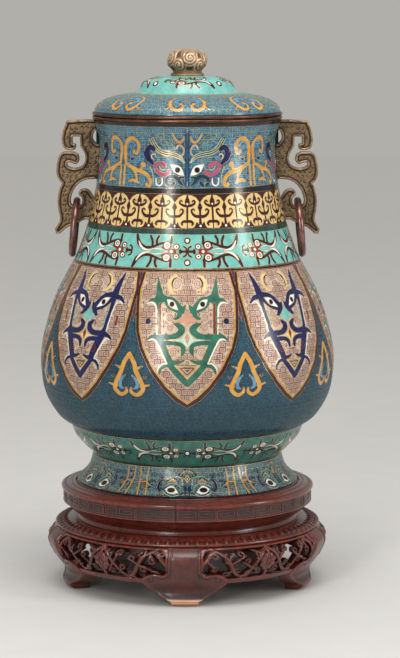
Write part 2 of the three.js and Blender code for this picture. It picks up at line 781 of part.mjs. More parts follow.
function legsAndAprons() {
  const turn = (2 * Math.PI) / legCount;
  const leg = geometryOf(legSolid());
  const apron = geometryOf(apronSolid());
  return Array.from({ length: legCount }, (unused, index) => {
    const legMesh = piece(`leg_${index + 1}`, leg, 'wood');
    const apronMesh = piece(`apron_${index + 1}`, apron, 'wood');
    legMesh.rotation.z = index * turn;
    apronMesh.rotation.z = (index + 0.5) * turn;
    return [legMesh, apronMesh];
  }).flat();
}

// Assembly
const stand = new THREE.Group();
stand.add(...legsAndAprons(), shoulderRing(), waistRing(), ...rimSegments(), trayBoard());
stand.rotation.z = THREE.MathUtils.degToRad(standTurn);

const vase = new THREE.Group();
vase.add(vaseShell(), footRing(), basePlate());
vase.add(bead('mouth_rim', mouthBead, flangeRadius + flangeClearance, 'bronze'));
for (const [sideName, side] of [['left', -1], ['right', 1]]) {
  vase.add(handle(`handle_${sideName}`, side), ring(`ring_${sideName}`, side));
  for (const { level, place } of rivetPlaces) {
    vase.add(rivet(`rivet_${sideName}_${level}`, place, side));
  }
}

const cover = new THREE.Group();
cover.add(lidShell(), bead('lid_rim', lidBead, flangeRadius + seatGap, 'bronze'), lidFlange());
cover.add(finial(), finialStud(), finialWasher(), finialNut());

const object = new THREE.Group();
object.add(stand, vase, cover);

export default object;
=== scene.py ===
# %% [markdown]
# A lidded cloisonne vase on its carved stand, dressed in Blender.
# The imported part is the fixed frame: its pieces have the right size and place, and this
# script gives them their enamel, gilding and carving. Everything is in metres, but drawings
# are laid out in millimetres, as an enameller would, and scaled when they become meshes.
# It could be modelled by hand, but its patterns repeat round the axis, which code does
# exactly.

# %% Load the fixed frame
import math
import random

import bpy
import numpy as np
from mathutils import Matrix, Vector
from mathutils.geometry import delaunay_2d_cdt


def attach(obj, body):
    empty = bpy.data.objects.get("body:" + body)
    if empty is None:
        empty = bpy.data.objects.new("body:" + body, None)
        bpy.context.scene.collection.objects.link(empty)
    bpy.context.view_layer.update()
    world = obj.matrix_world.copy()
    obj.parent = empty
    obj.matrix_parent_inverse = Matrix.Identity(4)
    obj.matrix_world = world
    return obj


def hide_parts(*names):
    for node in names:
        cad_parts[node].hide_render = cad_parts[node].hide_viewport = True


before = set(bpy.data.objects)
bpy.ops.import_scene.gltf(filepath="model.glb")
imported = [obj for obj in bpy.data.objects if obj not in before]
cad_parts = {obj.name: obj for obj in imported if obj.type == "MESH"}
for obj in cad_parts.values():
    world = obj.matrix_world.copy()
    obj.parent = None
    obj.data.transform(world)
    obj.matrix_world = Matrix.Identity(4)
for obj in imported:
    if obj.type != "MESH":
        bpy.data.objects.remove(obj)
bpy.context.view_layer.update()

MM = 0.001
print("nodes in the frame:", len(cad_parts))

# %% [markdown]
# Colours are written as they look on a screen, as sRGB hex values. Blender's shaders work
# in linear light, so one function converts them.

# %% Colour from an sRGB hex value
def from_hex(code):
    channels = [int(code[at:at + 2], 16) / 255 for at in (1, 3, 5)]
    linear = [c / 12.92 if c <= 0.04045 else ((c + 0.055) / 1.055) ** 2.4 for c in channels]
    return (*linear, 1)


print("enamel blue in linear light:", [round(c, 3) for c in from_hex("#35708f")])

# %% [markdown]
# A material is a small tree of nodes. One helper adds a node, sets its properties or the
# values on its sockets, and links its inputs. That is all the shader code needs.

# %% Add a node
def add(tree, kind, values={}, links={}):
    node = tree.nodes.new("ShaderNode" + kind)
    for name, value in values.items():
        if isinstance(name, str) and name in node.bl_rna.properties:
            setattr(node, name, value)
        else:
            node.inputs[name].default_value = value
    for name, source in links.items():
        tree.links.new(source, node.inputs[name])
    return node


# %% Start a material
def new_material(name):
    material = bpy.data.materials.new(name)
    material.use_nodes = True
    tree = material.node_tree
    tree.nodes.clear()
    surface = add(tree, "BsdfPrincipled")
    output = add(tree, "OutputMaterial")
    tree.links.new(surface.outputs[0], output.inputs["Surface"])
    where = add(tree, "TexCoord").outputs["Object"]
    return material, tree, surface, where


print("node helpers:", add.__name__, new_material.__name__)

# %% [markdown]
# Patterns are sized in millimetres. A noise texture's scale is the number of its cells in
# a metre, so a cell of so many millimetres needs one thousand divided by that. The patterns
# use object coordinates, because those need no unwrapping and run on from piece to piece.

# %% Pattern scale from a size in millimetres
def per_metre(size_mm):
    return 1000 / size_mm


def blend_of(tree, share, first, second):
    """Colour that runs from first to second as share goes from 0 to 1."""
    mix = add(tree, "Mix", {"data_type": "RGBA"}, {"Factor": share})
    for socket, colour in ((6, first), (7, second)):
        if isinstance(colour, tuple):
            mix.inputs[socket].default_value = colour
        else:
            tree.links.new(colour, mix.inputs[socket])
    return mix.outputs[2]


def stepped(tree, source, low, high, start=0.0, end=1.0):
    """Stretches the part of a pattern between low and high."""
    span = add(tree, "MapRange", {"From Min": low, "From Max": high, "To Min": start,
                                  "To Max": end}, {"Value": source})
    return span.outputs["Result"]


print("a cell of 7 mm fits", round(per_metre(7), 1), "times in a metre")

# %% [markdown]
# Cloisonne enamel is glass: powder is packed into cells of wire, fired, and ground flat.
# It is opaque and glossy, its colour clouds a little from cell to cell, and small burst
# bubbles leave dark pits. The colours could be painted on one texture. Instead each is a
# material of its own, made by one function, so that a cell's edge stays sharp at any size.
# The real pits are about 0.3 mm across and are drawn at 0.9 mm, so that they show.

# %% Fired enamel
CLOUD_MM = 7
PIT_MM = 0.9
PIT_DIRT = from_hex("#1b2022")
GLASS_IOR = 1.52
GROUND_FLAT, PITTED = 0.16, 0.34        # roughness of the polished glass and of its pits


def enamel(name, colour, deep, pits=0.5):
    material, tree, surface, where = new_material(name)
    cloud = add(tree, "TexNoise", {"Scale": per_metre(CLOUD_MM), "Detail": 3.0},
                {"Vector": where})
    grain = add(tree, "TexNoise", {"Scale": per_metre(PIT_MM), "Detail": 1.0},
                {"Vector": where})
    mottled = blend_of(tree, stepped(tree, cloud.outputs["Fac"], 0.3, 0.7),
                       from_hex(deep), from_hex(colour))
    pitted = stepped(tree, grain.outputs["Fac"], 0.66, 0.74, 0.0, pits)
    tree.links.new(blend_of(tree, pitted, mottled, PIT_DIRT), surface.inputs["Base Color"])
    tree.links.new(stepped(tree, grain.outputs["Fac"], 0.45, 0.75, GROUND_FLAT, PITTED),
                   surface.inputs["Roughness"])
    surface.inputs["IOR"].default_value = GLASS_IOR
    bump = add(tree, "Bump", {"Strength": 0.12, "Distance": 0.0003},
               {"Height": grain.outputs["Fac"]})
    tree.links.new(bump.outputs["Normal"], surface.inputs["Normal"])
    return material


# %% The enameller's colours, each with the deeper tone that it clouds to
ENAMELS = {
    "blue": enamel("enamel_lapis_blue_ground", "#35708f", "#204c64"),
    # The lapis blue ground drawn darker for the belly and the foot, which face down: painted
    # shade.
    "deepblue": enamel("enamel_blue_ground_painted_shade", "#1a4459", "#0f2938"),
    "turquoise": enamel("enamel_turquoise", "#7cc0b4", "#62a99f"),
    "aubergine": enamel("enamel_aubergine", "#43191d", "#2e1013"),
    "cream": enamel("enamel_straw_cream", "#e6ca8c", "#d3ae6c", 0.25),
    "yellow": enamel("enamel_ochre_yellow", "#dca54a", "#c08537", 0.3),
    "navy": enamel("enamel_cobalt_navy", "#131d58", "#0b1136"),
    # The lowest band: turquoise drawn darker and a little greener, as painted shade where it faces
    # down.
    "seagreen": enamel("enamel_sea_green_painted_shade", "#3d7a6b", "#295e52"),
    "green": enamel("enamel_malachite_green", "#357560", "#235546"),
    "darkgreen": enamel("enamel_bottle_green", "#2a4a42", "#1c332f"),
    "teal": enamel("enamel_dark_teal", "#10404f", "#0b2d3a"),
    "pink": enamel("enamel_rose_pink", "#b9556f", "#9c3f58", 0.3),
    "white": enamel("enamel_milk_white", "#f6f2ea", "#e4dccf", 0.15),
    "black": enamel("enamel_black", "#171114", "#0e0b0d", 0.2),
    "rose": enamel("enamel_greyish_rose_ground", "#cdb7a1", "#b89f8b", 0.3),
    "blush": enamel("enamel_pale_rose", "#d3bda7", "#bfa692", 0.2),
    "plum": enamel("enamel_plum_strip", "#5d3a48", "#472a37"),
    "sky": enamel("enamel_sky_blue", "#4f9cc4", "#3a84b0", 0.3),
    "mint": enamel("enamel_pale_mint", "#c3dcc9", "#a9c8b6", 0.2),
    "salmon": enamel("enamel_salmon", "#cf9c84", "#bd8670", 0.2),
    "red": enamel("enamel_brick_red", "#8a3530", "#6a2422", 0.3),
}
print("enamels:", len(ENAMELS))

# %% [markdown]
# The wires between the cells are copper strip on edge, gilded after the last grinding. The
# gold wears on the high places, so the tone wanders between bright and brownish. In the
# finest scrolls the enamel has crept over the gold, which leaves them dull: those wires are
# only partly metallic.

# %% Wires and the bare metal inside
def gilded(name, bright, worn, roughness, wear_mm=3.0, metallic=1.0):
    material, tree, surface, where = new_material(name)
    wear = add(tree, "TexNoise", {"Scale": per_metre(wear_mm), "Detail": 4.0},
               {"Vector": where})
    share = stepped(tree, wear.outputs["Fac"], 0.35, 0.65)
    tree.links.new(blend_of(tree, share, from_hex(worn), from_hex(bright)),
                   surface.inputs["Base Color"])
    tree.links.new(stepped(tree, wear.outputs["Fac"], 0.3, 0.7, roughness + 0.12, roughness),
                   surface.inputs["Roughness"])
    surface.inputs["Metallic"].default_value = metallic
    return material


GILT_WIRE = gilded("gilt_copper_wire", "#dcc088", "#97723f", 0.3)
COPPER_WIRE = gilded("copper_wire_in_pale_ground", "#8a5243", "#5f362e", 0.4, 3.0, 0.6)
KEY_WIRE = gilded("fine_worn_wire_in_blue", "#afba9f", "#628f9b", 0.45, 2.0, 0.3)
# The same fine wire drawn darker and greyer on the belly: painted shade, like the belly's ground.
SHADED_BELLY_WIRE = gilded("wire_in_blue_painted_shade", "#466c72", "#1b4153", 0.45, 2.0, 0.3)
COPPER_LINING = gilded("tinned_copper_inside", "#8a7460", "#5b463a", 0.42, 9.0)
print("wires:", GILT_WIRE.name, COPPER_WIRE.name)

# %% [markdown]
# The camera stands a little above the vase and looks slightly down, from about two and a
# half metres, with a long lens. How flat the ellipses of the rims look gives the downward
# angle. It could be aimed with a constraint, but plain numbers are easier to compare with
# the photograph. It is placed first, so that everything after it can be looked at.

# %% Camera at the photograph's viewing angle
CAMERA_PITCH = 7.5                      # degrees down
CAMERA_PLACE = (0, -2.4104, 0.5514)
LENS_MM = 144.58
SENSOR_MM = 36
OFF_CENTRE = 0.0193                     # the vase stands left of the picture's middle

camera_data = bpy.data.cameras.new("camera")
camera_data.sensor_fit = "VERTICAL"
camera_data.sensor_height = SENSOR_MM
camera_data.lens = LENS_MM
camera_data.shift_x = OFF_CENTRE
camera = bpy.data.objects.new("camera", camera_data)
camera.location = CAMERA_PLACE
camera.rotation_euler = (math.radians(90 - CAMERA_PITCH), 0, 0)
bpy.context.collection.objects.link(camera)
bpy.context.scene.camera = camera
bpy.context.scene.view_settings.view_transform = "Standard"
print("camera lens:", camera_data.lens, "mm")

# %% [markdown]
# A mesh is made from lists of points and faces in one call, which is faster and easier to
# repeat than adding and editing primitives. The floor is the first one: a plain pale sheet
# of paper, far wider than the picture.

# %% Meshes from lists, and the floor
def mesh_object(name, vertices, faces, materials, smooth=True):
    mesh = bpy.data.meshes.new(name)
    mesh.from_pydata([tuple(v) for v in vertices], [], [tuple(f) for f in faces])
    for material in materials:
        mesh.materials.append(material)
    mesh.shade_smooth() if smooth else mesh.shade_flat()
    piece = bpy.data.objects.new(name, mesh)
    bpy.context.collection.objects.link(piece)
    return piece


FLOOR_HALF = 6.0
PAPER_MM = 40
floor_material, tree, surface, where = new_material("pale_studio_floor")
paper = add(tree, "TexNoise", {"Scale": per_metre(PAPER_MM), "Detail": 4.0},
            {"Vector": where})
tree.links.new(blend_of(tree, paper.outputs["Fac"], from_hex("#c9c7c4"), from_hex("#d0cecb")),
               surface.inputs["Base Color"])
surface.inputs["Roughness"].default_value = 0.75
floor = mesh_object("floor", [(x * FLOOR_HALF, y * FLOOR_HALF, 0) for x, y in
                              ((-1, -1), (1, -1), (1, 1), (-1, 1))],
                    [(0, 1, 2, 3)], [floor_material], smooth=False)
print("floor:", 2 * FLOOR_HALF, "m wide")

# %% [markdown]
# Glass and metal show what stands around them, so the room matters as much as the lamps.
# It is pale and brighter overhead, as under a studio ceiling, and low down it is dim, which
# keeps the vase's underside deep. What the camera and the reflections see of it is a
# backdrop of the same tone as the far floor.

# %% Room
ROOM_LOW, ROOM_HIGH = 0.14, 1.1         # its strength at the horizon and overhead
BACKDROP = 0.9

world = bpy.data.worlds.new("pale_room")
world.use_nodes = True
bpy.context.scene.world = world
tree = world.node_tree
tree.nodes.clear()
ray = add(tree, "LightPath")
seen = add(tree, "Math", {"operation": "MAXIMUM"},
           {0: ray.outputs["Is Camera Ray"], 1: ray.outputs["Is Glossy Ray"]})
seen = add(tree, "Math", {"operation": "MAXIMUM"},
           {0: seen.outputs[0], 1: ray.outputs["Is Transmission Ray"]})
direction = add(tree, "SeparateXYZ", {}, {0: add(tree, "TexCoord").outputs["Generated"]})
from_above = stepped(tree, direction.outputs["Z"], 0, 1, ROOM_LOW, ROOM_HIGH)
room = add(tree, "Background", {"Color": from_hex("#f4f3f1")}, {"Strength": from_above})
backdrop = add(tree, "Background", {"Color": from_hex("#b9b7b2"), "Strength": BACKDROP})
mix = add(tree, "MixShader", {}, {0: seen.outputs[0], 1: room.outputs[0],
                                  2: backdrop.outputs[0]})
add(tree, "OutputWorld", {}, {"Surface": mix.outputs[0]})
print("room:", world.name)

# %% [markdown]
# Two tall soft boxes give the enamel its long upright highlights, one left of the middle
# and one near the right edge. A wide one above fills the shadows. Area lamps are used,
# because a lamp's shape is what a polished surface mirrors.

# %% Soft boxes
AIM = (0, 0, 0.26)                      # the middle of the vase


def soft_box(name, place, width, height, watts):
    data = bpy.data.lights.new(name, "AREA")
    data.shape = "RECTANGLE"
    data.size = width
    data.size_y = height
    data.energy = watts
    lamp = bpy.data.objects.new(name, data)
    lamp.location = place
    turn = (Vector(AIM) - Vector(place)).to_track_quat("-Z", "Y")
    lamp.rotation_euler = turn.to_euler()
    bpy.context.collection.objects.link(lamp)


soft_box("left_soft_box", (-0.6, -1.5, 0.8), 0.15, 1.0, 9)
soft_box("right_soft_box", (1.7, -0.75, 0.75), 0.3, 1.1, 10.5)
soft_box("fill_above", (0.1, -0.75, 1.9), 1.2, 0.8, 18)

# %% [markdown]
# The vase, its foot and the cover are turned shapes: each is a profile swept round the
# axis. A screw modifier could sweep it, but the enamel drawing has to be wrapped on the
# same profile, so both use one class that knows it. The same stations as in the CAD part
# give the same profiles here, and the enamel lies exactly where the CAD surface is.

# %% Curves
def spline_point(a, b, c, d, t):
    """The point a share t of the way from b to c, on a uniform Catmull-Rom curve."""
    return b + 0.5 * t * (c - a + t * (2 * a - 5 * b + 4 * c - d)
                          + t * t * (3 * b - a - 3 * c + d))


def curve(points, steps=6):
    """Uniform Catmull-Rom curve through the points, as in the part's own splines."""
    stations = [np.array(p, float) for p in points]
    stations = [stations[0], *stations, stations[-1]]
    line = []
    for a, b, c, d in zip(stations, stations[1:], stations[2:], stations[3:]):
        line += [spline_point(a, b, c, d, step / steps) for step in range(steps)]
    return line + [stations[-1]]


def bezier(a, b, c, d, steps=12):
    a, b, c, d = (np.array(p, float) for p in (a, b, c, d))
    share = [k / steps for k in range(steps + 1)]
    return [(1 - t) ** 3 * a + 3 * t * (1 - t) ** 2 * b + 3 * t * t * (1 - t) * c
            + t ** 3 * d for t in share]


def on_turn(radius, height, t):
    """The point at an angle round the axis, zero in front, from mm to metres."""
    return (radius * math.sin(t) * MM, -radius * math.cos(t) * MM, height * MM)


print("a curve through 3 points has", len(curve([(0, 0), (1, 1), (2, 0)])), "points")

# %% A profile that knows its arc length
SWEEP = 100                             # drawing mm to a radian, so a turn is 628 mm wide
HALF_TURN = math.pi * SWEEP


class Profile:
    """A profile of (radius, height) points in mm, which knows its own arc length."""

    def __init__(self, points):
        points = np.array(points)
        keep = [True] + [bool(np.linalg.norm(b - a) > 1e-6)
                         for a, b in zip(points, points[1:])]
        self.points = points[keep]
        step = np.diff(self.points, axis=0)
        self.arc = np.concatenate([[0], np.cumsum(np.hypot(*step.T))])
        self.length = self.arc[-1]
        slope = np.gradient(self.points, self.arc, axis=0)
        self.normals = np.stack([slope[:, 1], -slope[:, 0]], 1)

    def at_height(self, height):
        return np.interp(height, self.points[:, 1], self.arc)

    def place(self, across, along):
        """Points and normals, in metres, for (angle x 100, arc length) in mm."""
        angle = np.asarray(across) / SWEEP
        radius = np.interp(along, self.arc, self.points[:, 0])
        height = np.interp(along, self.arc, self.points[:, 1])
        outward = np.interp(along, self.arc, self.normals[:, 0])
        upward = np.interp(along, self.arc, self.normals[:, 1])
        size = np.hypot(outward, upward)
        points = np.stack([radius * np.sin(angle), -radius * np.cos(angle), height], 1) * MM
        normals = np.stack([outward * np.sin(angle), -outward * np.cos(angle), upward], 1)
        return points, normals / size[:, None]


BAND_CURVE = bezier((87, 122.1), (96, 130.9), (105.2, 138), (106.5, 148.1))
BODY_CURVE = curve([(107.7, 149.5), (119.5, 158.6), (131, 179.75), (134.5, 210),
                    (129.7, 238.7), (119.3, 269.2), (104.7, 297), (96.9, 314.9),
                    (87.3, 345.5), (82.4, 373.75), (80, 402), (80.8, 413.3), (85.1, 427.2)], 8)
VASE = Profile(BAND_CURVE + BODY_CURVE)
FOOT = Profile([(102.2, 92.8), (102.2, 96.2)]
               + bezier((101.6, 96.2), (96.2, 103.3), (88.2, 105.3), (87, 121.8)))
print("vase profile", round(VASE.length, 1), "mm, foot", round(FOOT.length, 1), "mm long")

# %% [markdown]
# The drawing kit. On the real vase a cell is a loop of wire filled with one enamel. Here a
# motif is a list of cells, each an enamel and a polygon in millimetres. Strokes are built
# from short pieces and round ends, so that a curl may cross itself, which one long polygon
# could not.

# %% Cells: fills, discs, smooth shapes
def fill(colour, points):
    return [(colour, [tuple(p) for p in points])]


def disc(colour, centre, radius, sides=12):
    turns = [2 * math.pi * k / sides for k in range(sides)]
    return fill(colour, [(centre[0] + radius * math.cos(t), centre[1] + radius * math.sin(t))
                         for t in turns])


def area_of(points):
    x, y = np.array(points).T
    return 0.5 * float(np.dot(x, np.roll(y, -1)) - np.dot(y, np.roll(x, -1)))


def blob(colour, points, steps=4):
    """A closed smooth shape through the points."""
    ring = [np.array(p, float) for p in points]
    line = []
    for k in range(len(ring)):
        a, b, c, d = (ring[(k + n) % len(ring)] for n in (-1, 0, 1, 2))
        line += [spline_point(a, b, c, d, step / steps) for step in range(steps)]
    return fill(colour, line)


print("a disc of radius 1 has area", round(area_of(disc("blue", (0, 0), 1)[0][1]), 2))

# %% Cells: strokes and reflections
def stroke(colour, points, width, steps=4, round_ends=True):
    """A band along a smooth curve. width is one number, or one for each point."""
    line = np.array(curve(points, steps)) if len(points) > 2 else np.array(points, float)
    width = [width, width] if np.isscalar(width) else width
    widths = np.interp(np.linspace(0, 1, len(line)), np.linspace(0, 1, len(width)), width)
    along = np.gradient(line, axis=0)
    along /= np.linalg.norm(along, axis=1)[:, None] + 1e-9
    side = np.stack([-along[:, 1], along[:, 0]], 1) * widths[:, None] / 2
    left, right = line + side, line - side
    cells = []
    for k in range(len(line) - 1):
        quad = [left[k], right[k], right[k + 1], left[k + 1]]
        halves = [quad[:3], [quad[0], quad[2], quad[3]]]
        convex = area_of(halves[0]) * area_of(halves[1]) > 0
        for part in [quad] if convex else halves:
            cells += fill(colour, part)
    if round_ends:
        cells += disc(colour, line[0], widths[0] / 2, 8)
        cells += disc(colour, line[-1], widths[-1] / 2, 8)
    return cells


def strokes(rows):
    """Several strokes, given as rows of colour, points and width."""
    return [cell for row in rows for cell in stroke(*row)]


def mirrored(cells):
    return [(colour, [(-u, v) for u, v in points]) for colour, points in cells]


def both(cells):
    return cells + mirrored(cells)


print("cells in a stroke of 3 points:", len(stroke("blue", [(0, 0), (1, 1), (2, 0)], 1)))

# %% [markdown]
# A body collects its cells in one flat drawing: across is the angle round the vase, up is
# the length along the profile. The last shape drawn lies on top. The drawing could be a
# painted image, but then the wires and the edges of the cells would be no geometry.

# %% Drawing on a turned body
class Inlay:
    """Cells in the flat drawing of one body, and the levels where its bands meet."""

    def __init__(self, profile):
        self.profile = profile
        self.cells = []
        self.levels = set()

    def band(self, colour, low, high):
        ends = [self.profile.at_height(low), self.profile.at_height(high)]
        self.levels.update(ends)
        self.cells.append((colour, [(-HALF_TURN, ends[0]), (HALF_TURN, ends[0]),
                                    (HALF_TURN, ends[1]), (-HALF_TURN, ends[1])]))

    def flat(self, points, centre, radius):
        """Millimetres beside and above a motif's centre line, to the flat drawing."""
        points = np.array(points)
        across = (math.radians(centre) + points[:, 0] / radius) * SWEEP
        return np.stack([across, self.profile.at_height(points[:, 1])], 1)

    def put(self, cells, centre, radius, lift=0.0):
        for colour, points in cells:
            points = self.flat([(u, v + lift) for u, v in points], centre, radius)
            self.cells += [(colour, line) for line in self.around(points)]

    def around(self, points):
        """A shape shifted into the drawing, and repeated where it crosses the seam."""
        points = points - [2 * HALF_TURN * round(points[:, 0].mean() / (2 * HALF_TURN)), 0]
        copies = [points + [turn * 2 * HALF_TURN, 0] for turn in (0, -1, 1)]
        return [[tuple(p) for p in copy] for copy in copies
                if copy[:, 0].max() > -HALF_TURN and copy[:, 0].min() < HALF_TURN]


print("the drawing is", round(2 * HALF_TURN, 1), "mm wide for one turn")

# %% [markdown]
# Which enamel lies over a point? A ray to one side of it crosses a shape's edges an odd
# number of times when the point is inside. All points near a shape are tested at once with
# numpy, since a loop over each point would take minutes.

# %% The enamel over a point
def colours_at(cells, points):
    """The enamel of the topmost cell over each point, by counting its crossed edges."""
    points = np.array(points)
    order = np.argsort(points[:, 0])
    across = points[order, 0]
    colours = np.full(len(points), "", dtype="U12")
    for colour, shape in cells:
        shape = np.array(shape)
        low, high = shape.min(0), shape.max(0)
        near = order[slice(*np.searchsorted(across, (low[0], high[0])))]
        near = near[(points[near, 1] >= low[1]) & (points[near, 1] <= high[1])]
        if not len(near):
            continue
        x, y = points[near].T[:, :, None]
        x1, y1 = shape.T
        x2, y2 = np.roll(shape, -1, axis=0).T
        rise = np.where(y2 == y1, 1, y2 - y1)
        crossed = ((y1 > y) != (y2 > y)) & (x < (x2 - x1) * (y - y1) / rise + x1)
        colours[near[crossed.sum(1) % 2 == 1]] = colour
    return colours


print("over a disc's middle:", colours_at(disc("blue", (0, 0), 1), [(0, 0)])[0])

# %% [markdown]
# A constrained triangulation of everything drawn gives clean edges between the enamels.
# The flat mesh is wrapped onto the profile afterwards, so it needs points in every column
# and row to bend at. The edges of a band get them too: a band with points at its ends only
# would be cut into long triangles, which run across the inside of the vase once wrapped.

# %% Triangles of a drawing
COLUMNS = 144
COLUMN_MM = 2 * HALF_TURN / COLUMNS
ROW_MM = 5.0
SMALLEST_AREA = 1e-3                    # square mm, below which a shape is left out
WELD = 1e-4                             # mm, how near two points are one


def triangulated(inlay, low, high):
    """Flat points, triangles and the enamel of each triangle."""
    columns = np.linspace(-HALF_TURN, HALF_TURN, COLUMNS + 1)
    base = [(x, low) for x in columns] + [(x, high) for x in columns[::-1]]
    rows = np.linspace(low, high, max(2, int((high - low) / ROW_MM)) + 1)[1:-1]
    extra = []
    for number, row in enumerate(rows):
        shift = COLUMN_MM / 2 * (number % 2)
        extra += [(x + shift, row) for x in columns[1:-1]]
        extra += [(-HALF_TURN, row), (HALF_TURN, row)]
    for level in sorted(inlay.levels):
        if low < level < high:
            extra += [(x, level) for x in columns[1:-1]]
    spots, triangles = cut_up([base] + [shape for _, shape in inlay.cells], extra)
    middles = spots[triangles].mean(axis=1)
    inside = (abs(middles[:, 0]) < HALF_TURN) & (middles[:, 1] > low) & (middles[:, 1] < high)
    enamels = colours_at(inlay.cells, middles[inside])
    return spots, [tuple(t) for t in triangles[inside].tolist()], enamels.tolist()


def cut_up(shapes, extra):
    """Triangles whose edges follow every shape, with extra points between them."""
    points, faces = [], []
    for shape in shapes:
        area = area_of(shape)
        if abs(area) > SMALLEST_AREA:
            faces.append(list(range(len(points), len(points) + len(shape))))
            points += [tuple(p) for p in (shape if area > 0 else shape[::-1])]
    spots, _, triangles = delaunay_2d_cdt(
        [Vector(p) for p in points + extra], [], faces, 0, WELD, True)[:3]
    return np.array(spots), np.array([t for t in triangles if len(t) == 3])


print("columns:", COLUMNS, "of", round(COLUMN_MM, 2), "mm")

# %% Lines where two enamels meet
def border_lines(spots, triangles, enamels):
    """Chains of the edges that part two enamels."""
    sides = {}
    for number, triangle in enumerate(triangles):
        for a, b in zip(triangle, (*triangle[1:], triangle[0])):
            sides.setdefault((min(a, b), max(a, b)), []).append(number)
    nearby = {}
    for (a, b), owners in sides.items():
        if len(owners) == 2 and enamels[owners[0]] != enamels[owners[1]]:
            nearby.setdefault(a, []).append(b)
            nearby.setdefault(b, []).append(a)
    lines = []
    starts = [v for v in nearby if len(nearby[v]) != 2] + list(nearby)
    for start in starts:
        while nearby[start]:
            line, here = [start], start
            while nearby[here]:
                onward = nearby[here].pop()
                nearby[onward].remove(here)
                line.append(onward)
                here = onward
                if len(nearby[here]) != 1:
                    break
            lines.append([tuple(spots[v]) for v in line])
    return lines


square = np.array([(0, 0), (1, 0), (1, 1), (0, 1)])
print("lines in a square of two enamels:",
      len(border_lines(square, [(0, 1, 2), (0, 2, 3)], ["a", "b"])))

# %% [markdown]
# A wire is a ribbon that stands a hair proud of the glass. A curve with a bevel would make
# round wire and far more faces. The border wires have a raised ridge, so they catch the
# light, and so have the fine key-scroll wires, which are laid higher.

# %% Ribbons
def divided(line, longest=3.0):
    """The same line with no step longer than so many mm."""
    result = [line[0]]
    for a, b in zip(line, line[1:]):
        parts = max(1, math.ceil(math.hypot(b[0] - a[0], b[1] - a[1]) / longest))
        result += [(a[0] + (b[0] - a[0]) * k / parts, a[1] + (b[1] - a[1]) * k / parts)
                   for k in range(1, parts + 1)]
    return result


def ribbons(profile, lines, width, proud, ridge=0.0):
    """Vertices, faces and normals of strips along the lines."""
    flat = np.array([p for line in lines for p in line])
    points, normals = profile.place(flat[:, 0], flat[:, 1])
    number = np.concatenate([np.full(len(line), k) for k, line in enumerate(lines)])
    step = np.diff(points, axis=0)
    step[number[1:] != number[:-1]] = 0
    size = np.linalg.norm(step, axis=1)[:, None]
    step = np.divide(step, size, out=np.zeros_like(step), where=size > 0)
    before = np.vstack([np.zeros((1, 3)), step])
    after = np.vstack([step, np.zeros((1, 3))])
    along = before + after
    along /= np.linalg.norm(along, axis=1)[:, None] + 1e-12
    side = np.cross(normals, along)
    one = np.where(np.linalg.norm(before, axis=1)[:, None] > 0, before, after)
    lean = np.clip(np.einsum("ij,ij->i", np.cross(normals, one), side), 0.5, 1)[:, None]
    reach = side / lean * width / 2 * MM
    base = points + normals * proud * MM
    rails = [base - reach, base + reach]
    if ridge:
        rails.insert(1, points + normals * (proud + ridge) * MM)
    across = len(rails)
    vertices = np.stack(rails, 1).reshape(-1, 3)
    same = np.nonzero(number[1:] == number[:-1])[0]
    faces = [np.stack([same * across + k, (same + 1) * across + k,
                       (same + 1) * across + k + 1, same * across + k + 1], 1)
             for k in range(across - 1)]
    return vertices, np.concatenate(faces), np.repeat(normals, across, axis=0)


print("a line of 7 mm is cut into", len(divided([(0, 0), (7, 0)])) - 1, "steps")

# %% Wires of a body
BORDER_MM, FINE_MM, PANEL_MM = 0.28, 0.36, 0.48     # widths of the wires
FINE_PROUD = 0.05


def shaped(name, vertices, faces, normals, materials, indices=None):
    """A smooth mesh object with its true surface normals."""
    piece = mesh_object(name, vertices, faces, materials)
    if indices is not None:
        piece.data.polygons.foreach_set("material_index", indices)
    if normals is not None:
        piece.data.normals_split_custom_set_from_vertices([tuple(n) for n in normals])
    return piece


def wire_piece(name, profile, lines, metal, body, width=BORDER_MM, proud=0.02, ridge=0.07):
    lines = [divided(line) for line in lines if len(line) > 1]
    piece = shaped(name, *ribbons(profile, lines, width, proud, ridge), [metal])
    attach(piece, body)
    print(name, len(piece.data.polygons), "faces")


# %% [markdown]
# The real body is hammered copper, two millimetres thick, with enamel on the outside. The
# skin here is closed in the same way: the drawing is wrapped onto the outside, and a plain
# turned lining with the same columns runs down the inside to meet it. A solidify modifier
# would copy every cell to the inside, where nobody sees them.

# %% Wrap the drawing onto a body
def wrapped(name, inlay, low, high, lining, body):
    """lining is the inner wall from the top edge round to the bottom edge, in mm."""
    spots, triangles, enamels = triangulated(inlay, low, high)
    palette = sorted(set(enamels))
    points, normals = inlay.profile.place(spots[:, 0], spots[:, 1])
    turn = np.linspace(-math.pi, math.pi, COLUMNS + 1)
    vertices, faces = list(points), [tuple(t) for t in triangles]
    indices = [palette.index(e) for e in enamels]
    outside = len(faces)
    start = len(vertices)
    for radius, height in lining:
        vertices += [on_turn(radius, height, t) for t in turn]
    wide = COLUMNS + 1
    for row in range(len(lining) - 1):
        for k in range(COLUMNS):
            a = start + row * wide + k
            faces.append((a, a + 1, a + wide + 1, a + wide))
            indices.append(len(palette))
    lining_normals = np.zeros((wide * len(lining), 3))
    vertices, normals = np.array(vertices), np.vstack([normals, lining_normals])
    _, first, joined = np.unique(np.round(vertices, 6), axis=0, return_index=True,
                                 return_inverse=True)
    joined = joined.reshape(-1)
    faces = [tuple(joined[v] for v in face) for face in faces]
    whole = [len(set(face)) == len(face) for face in faces]
    faces = [face for face, keep in zip(faces, whole) if keep]
    indices = [index for index, keep in zip(indices, whole) if keep]
    piece = shaped(name, vertices[first], faces, normals[first],
                   [ENAMELS[e] for e in palette] + [COPPER_LINING], indices)
    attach(piece, body)
    print(name, len(piece.data.polygons), "faces,", outside, "outside")
    return spots, triangles, enamels


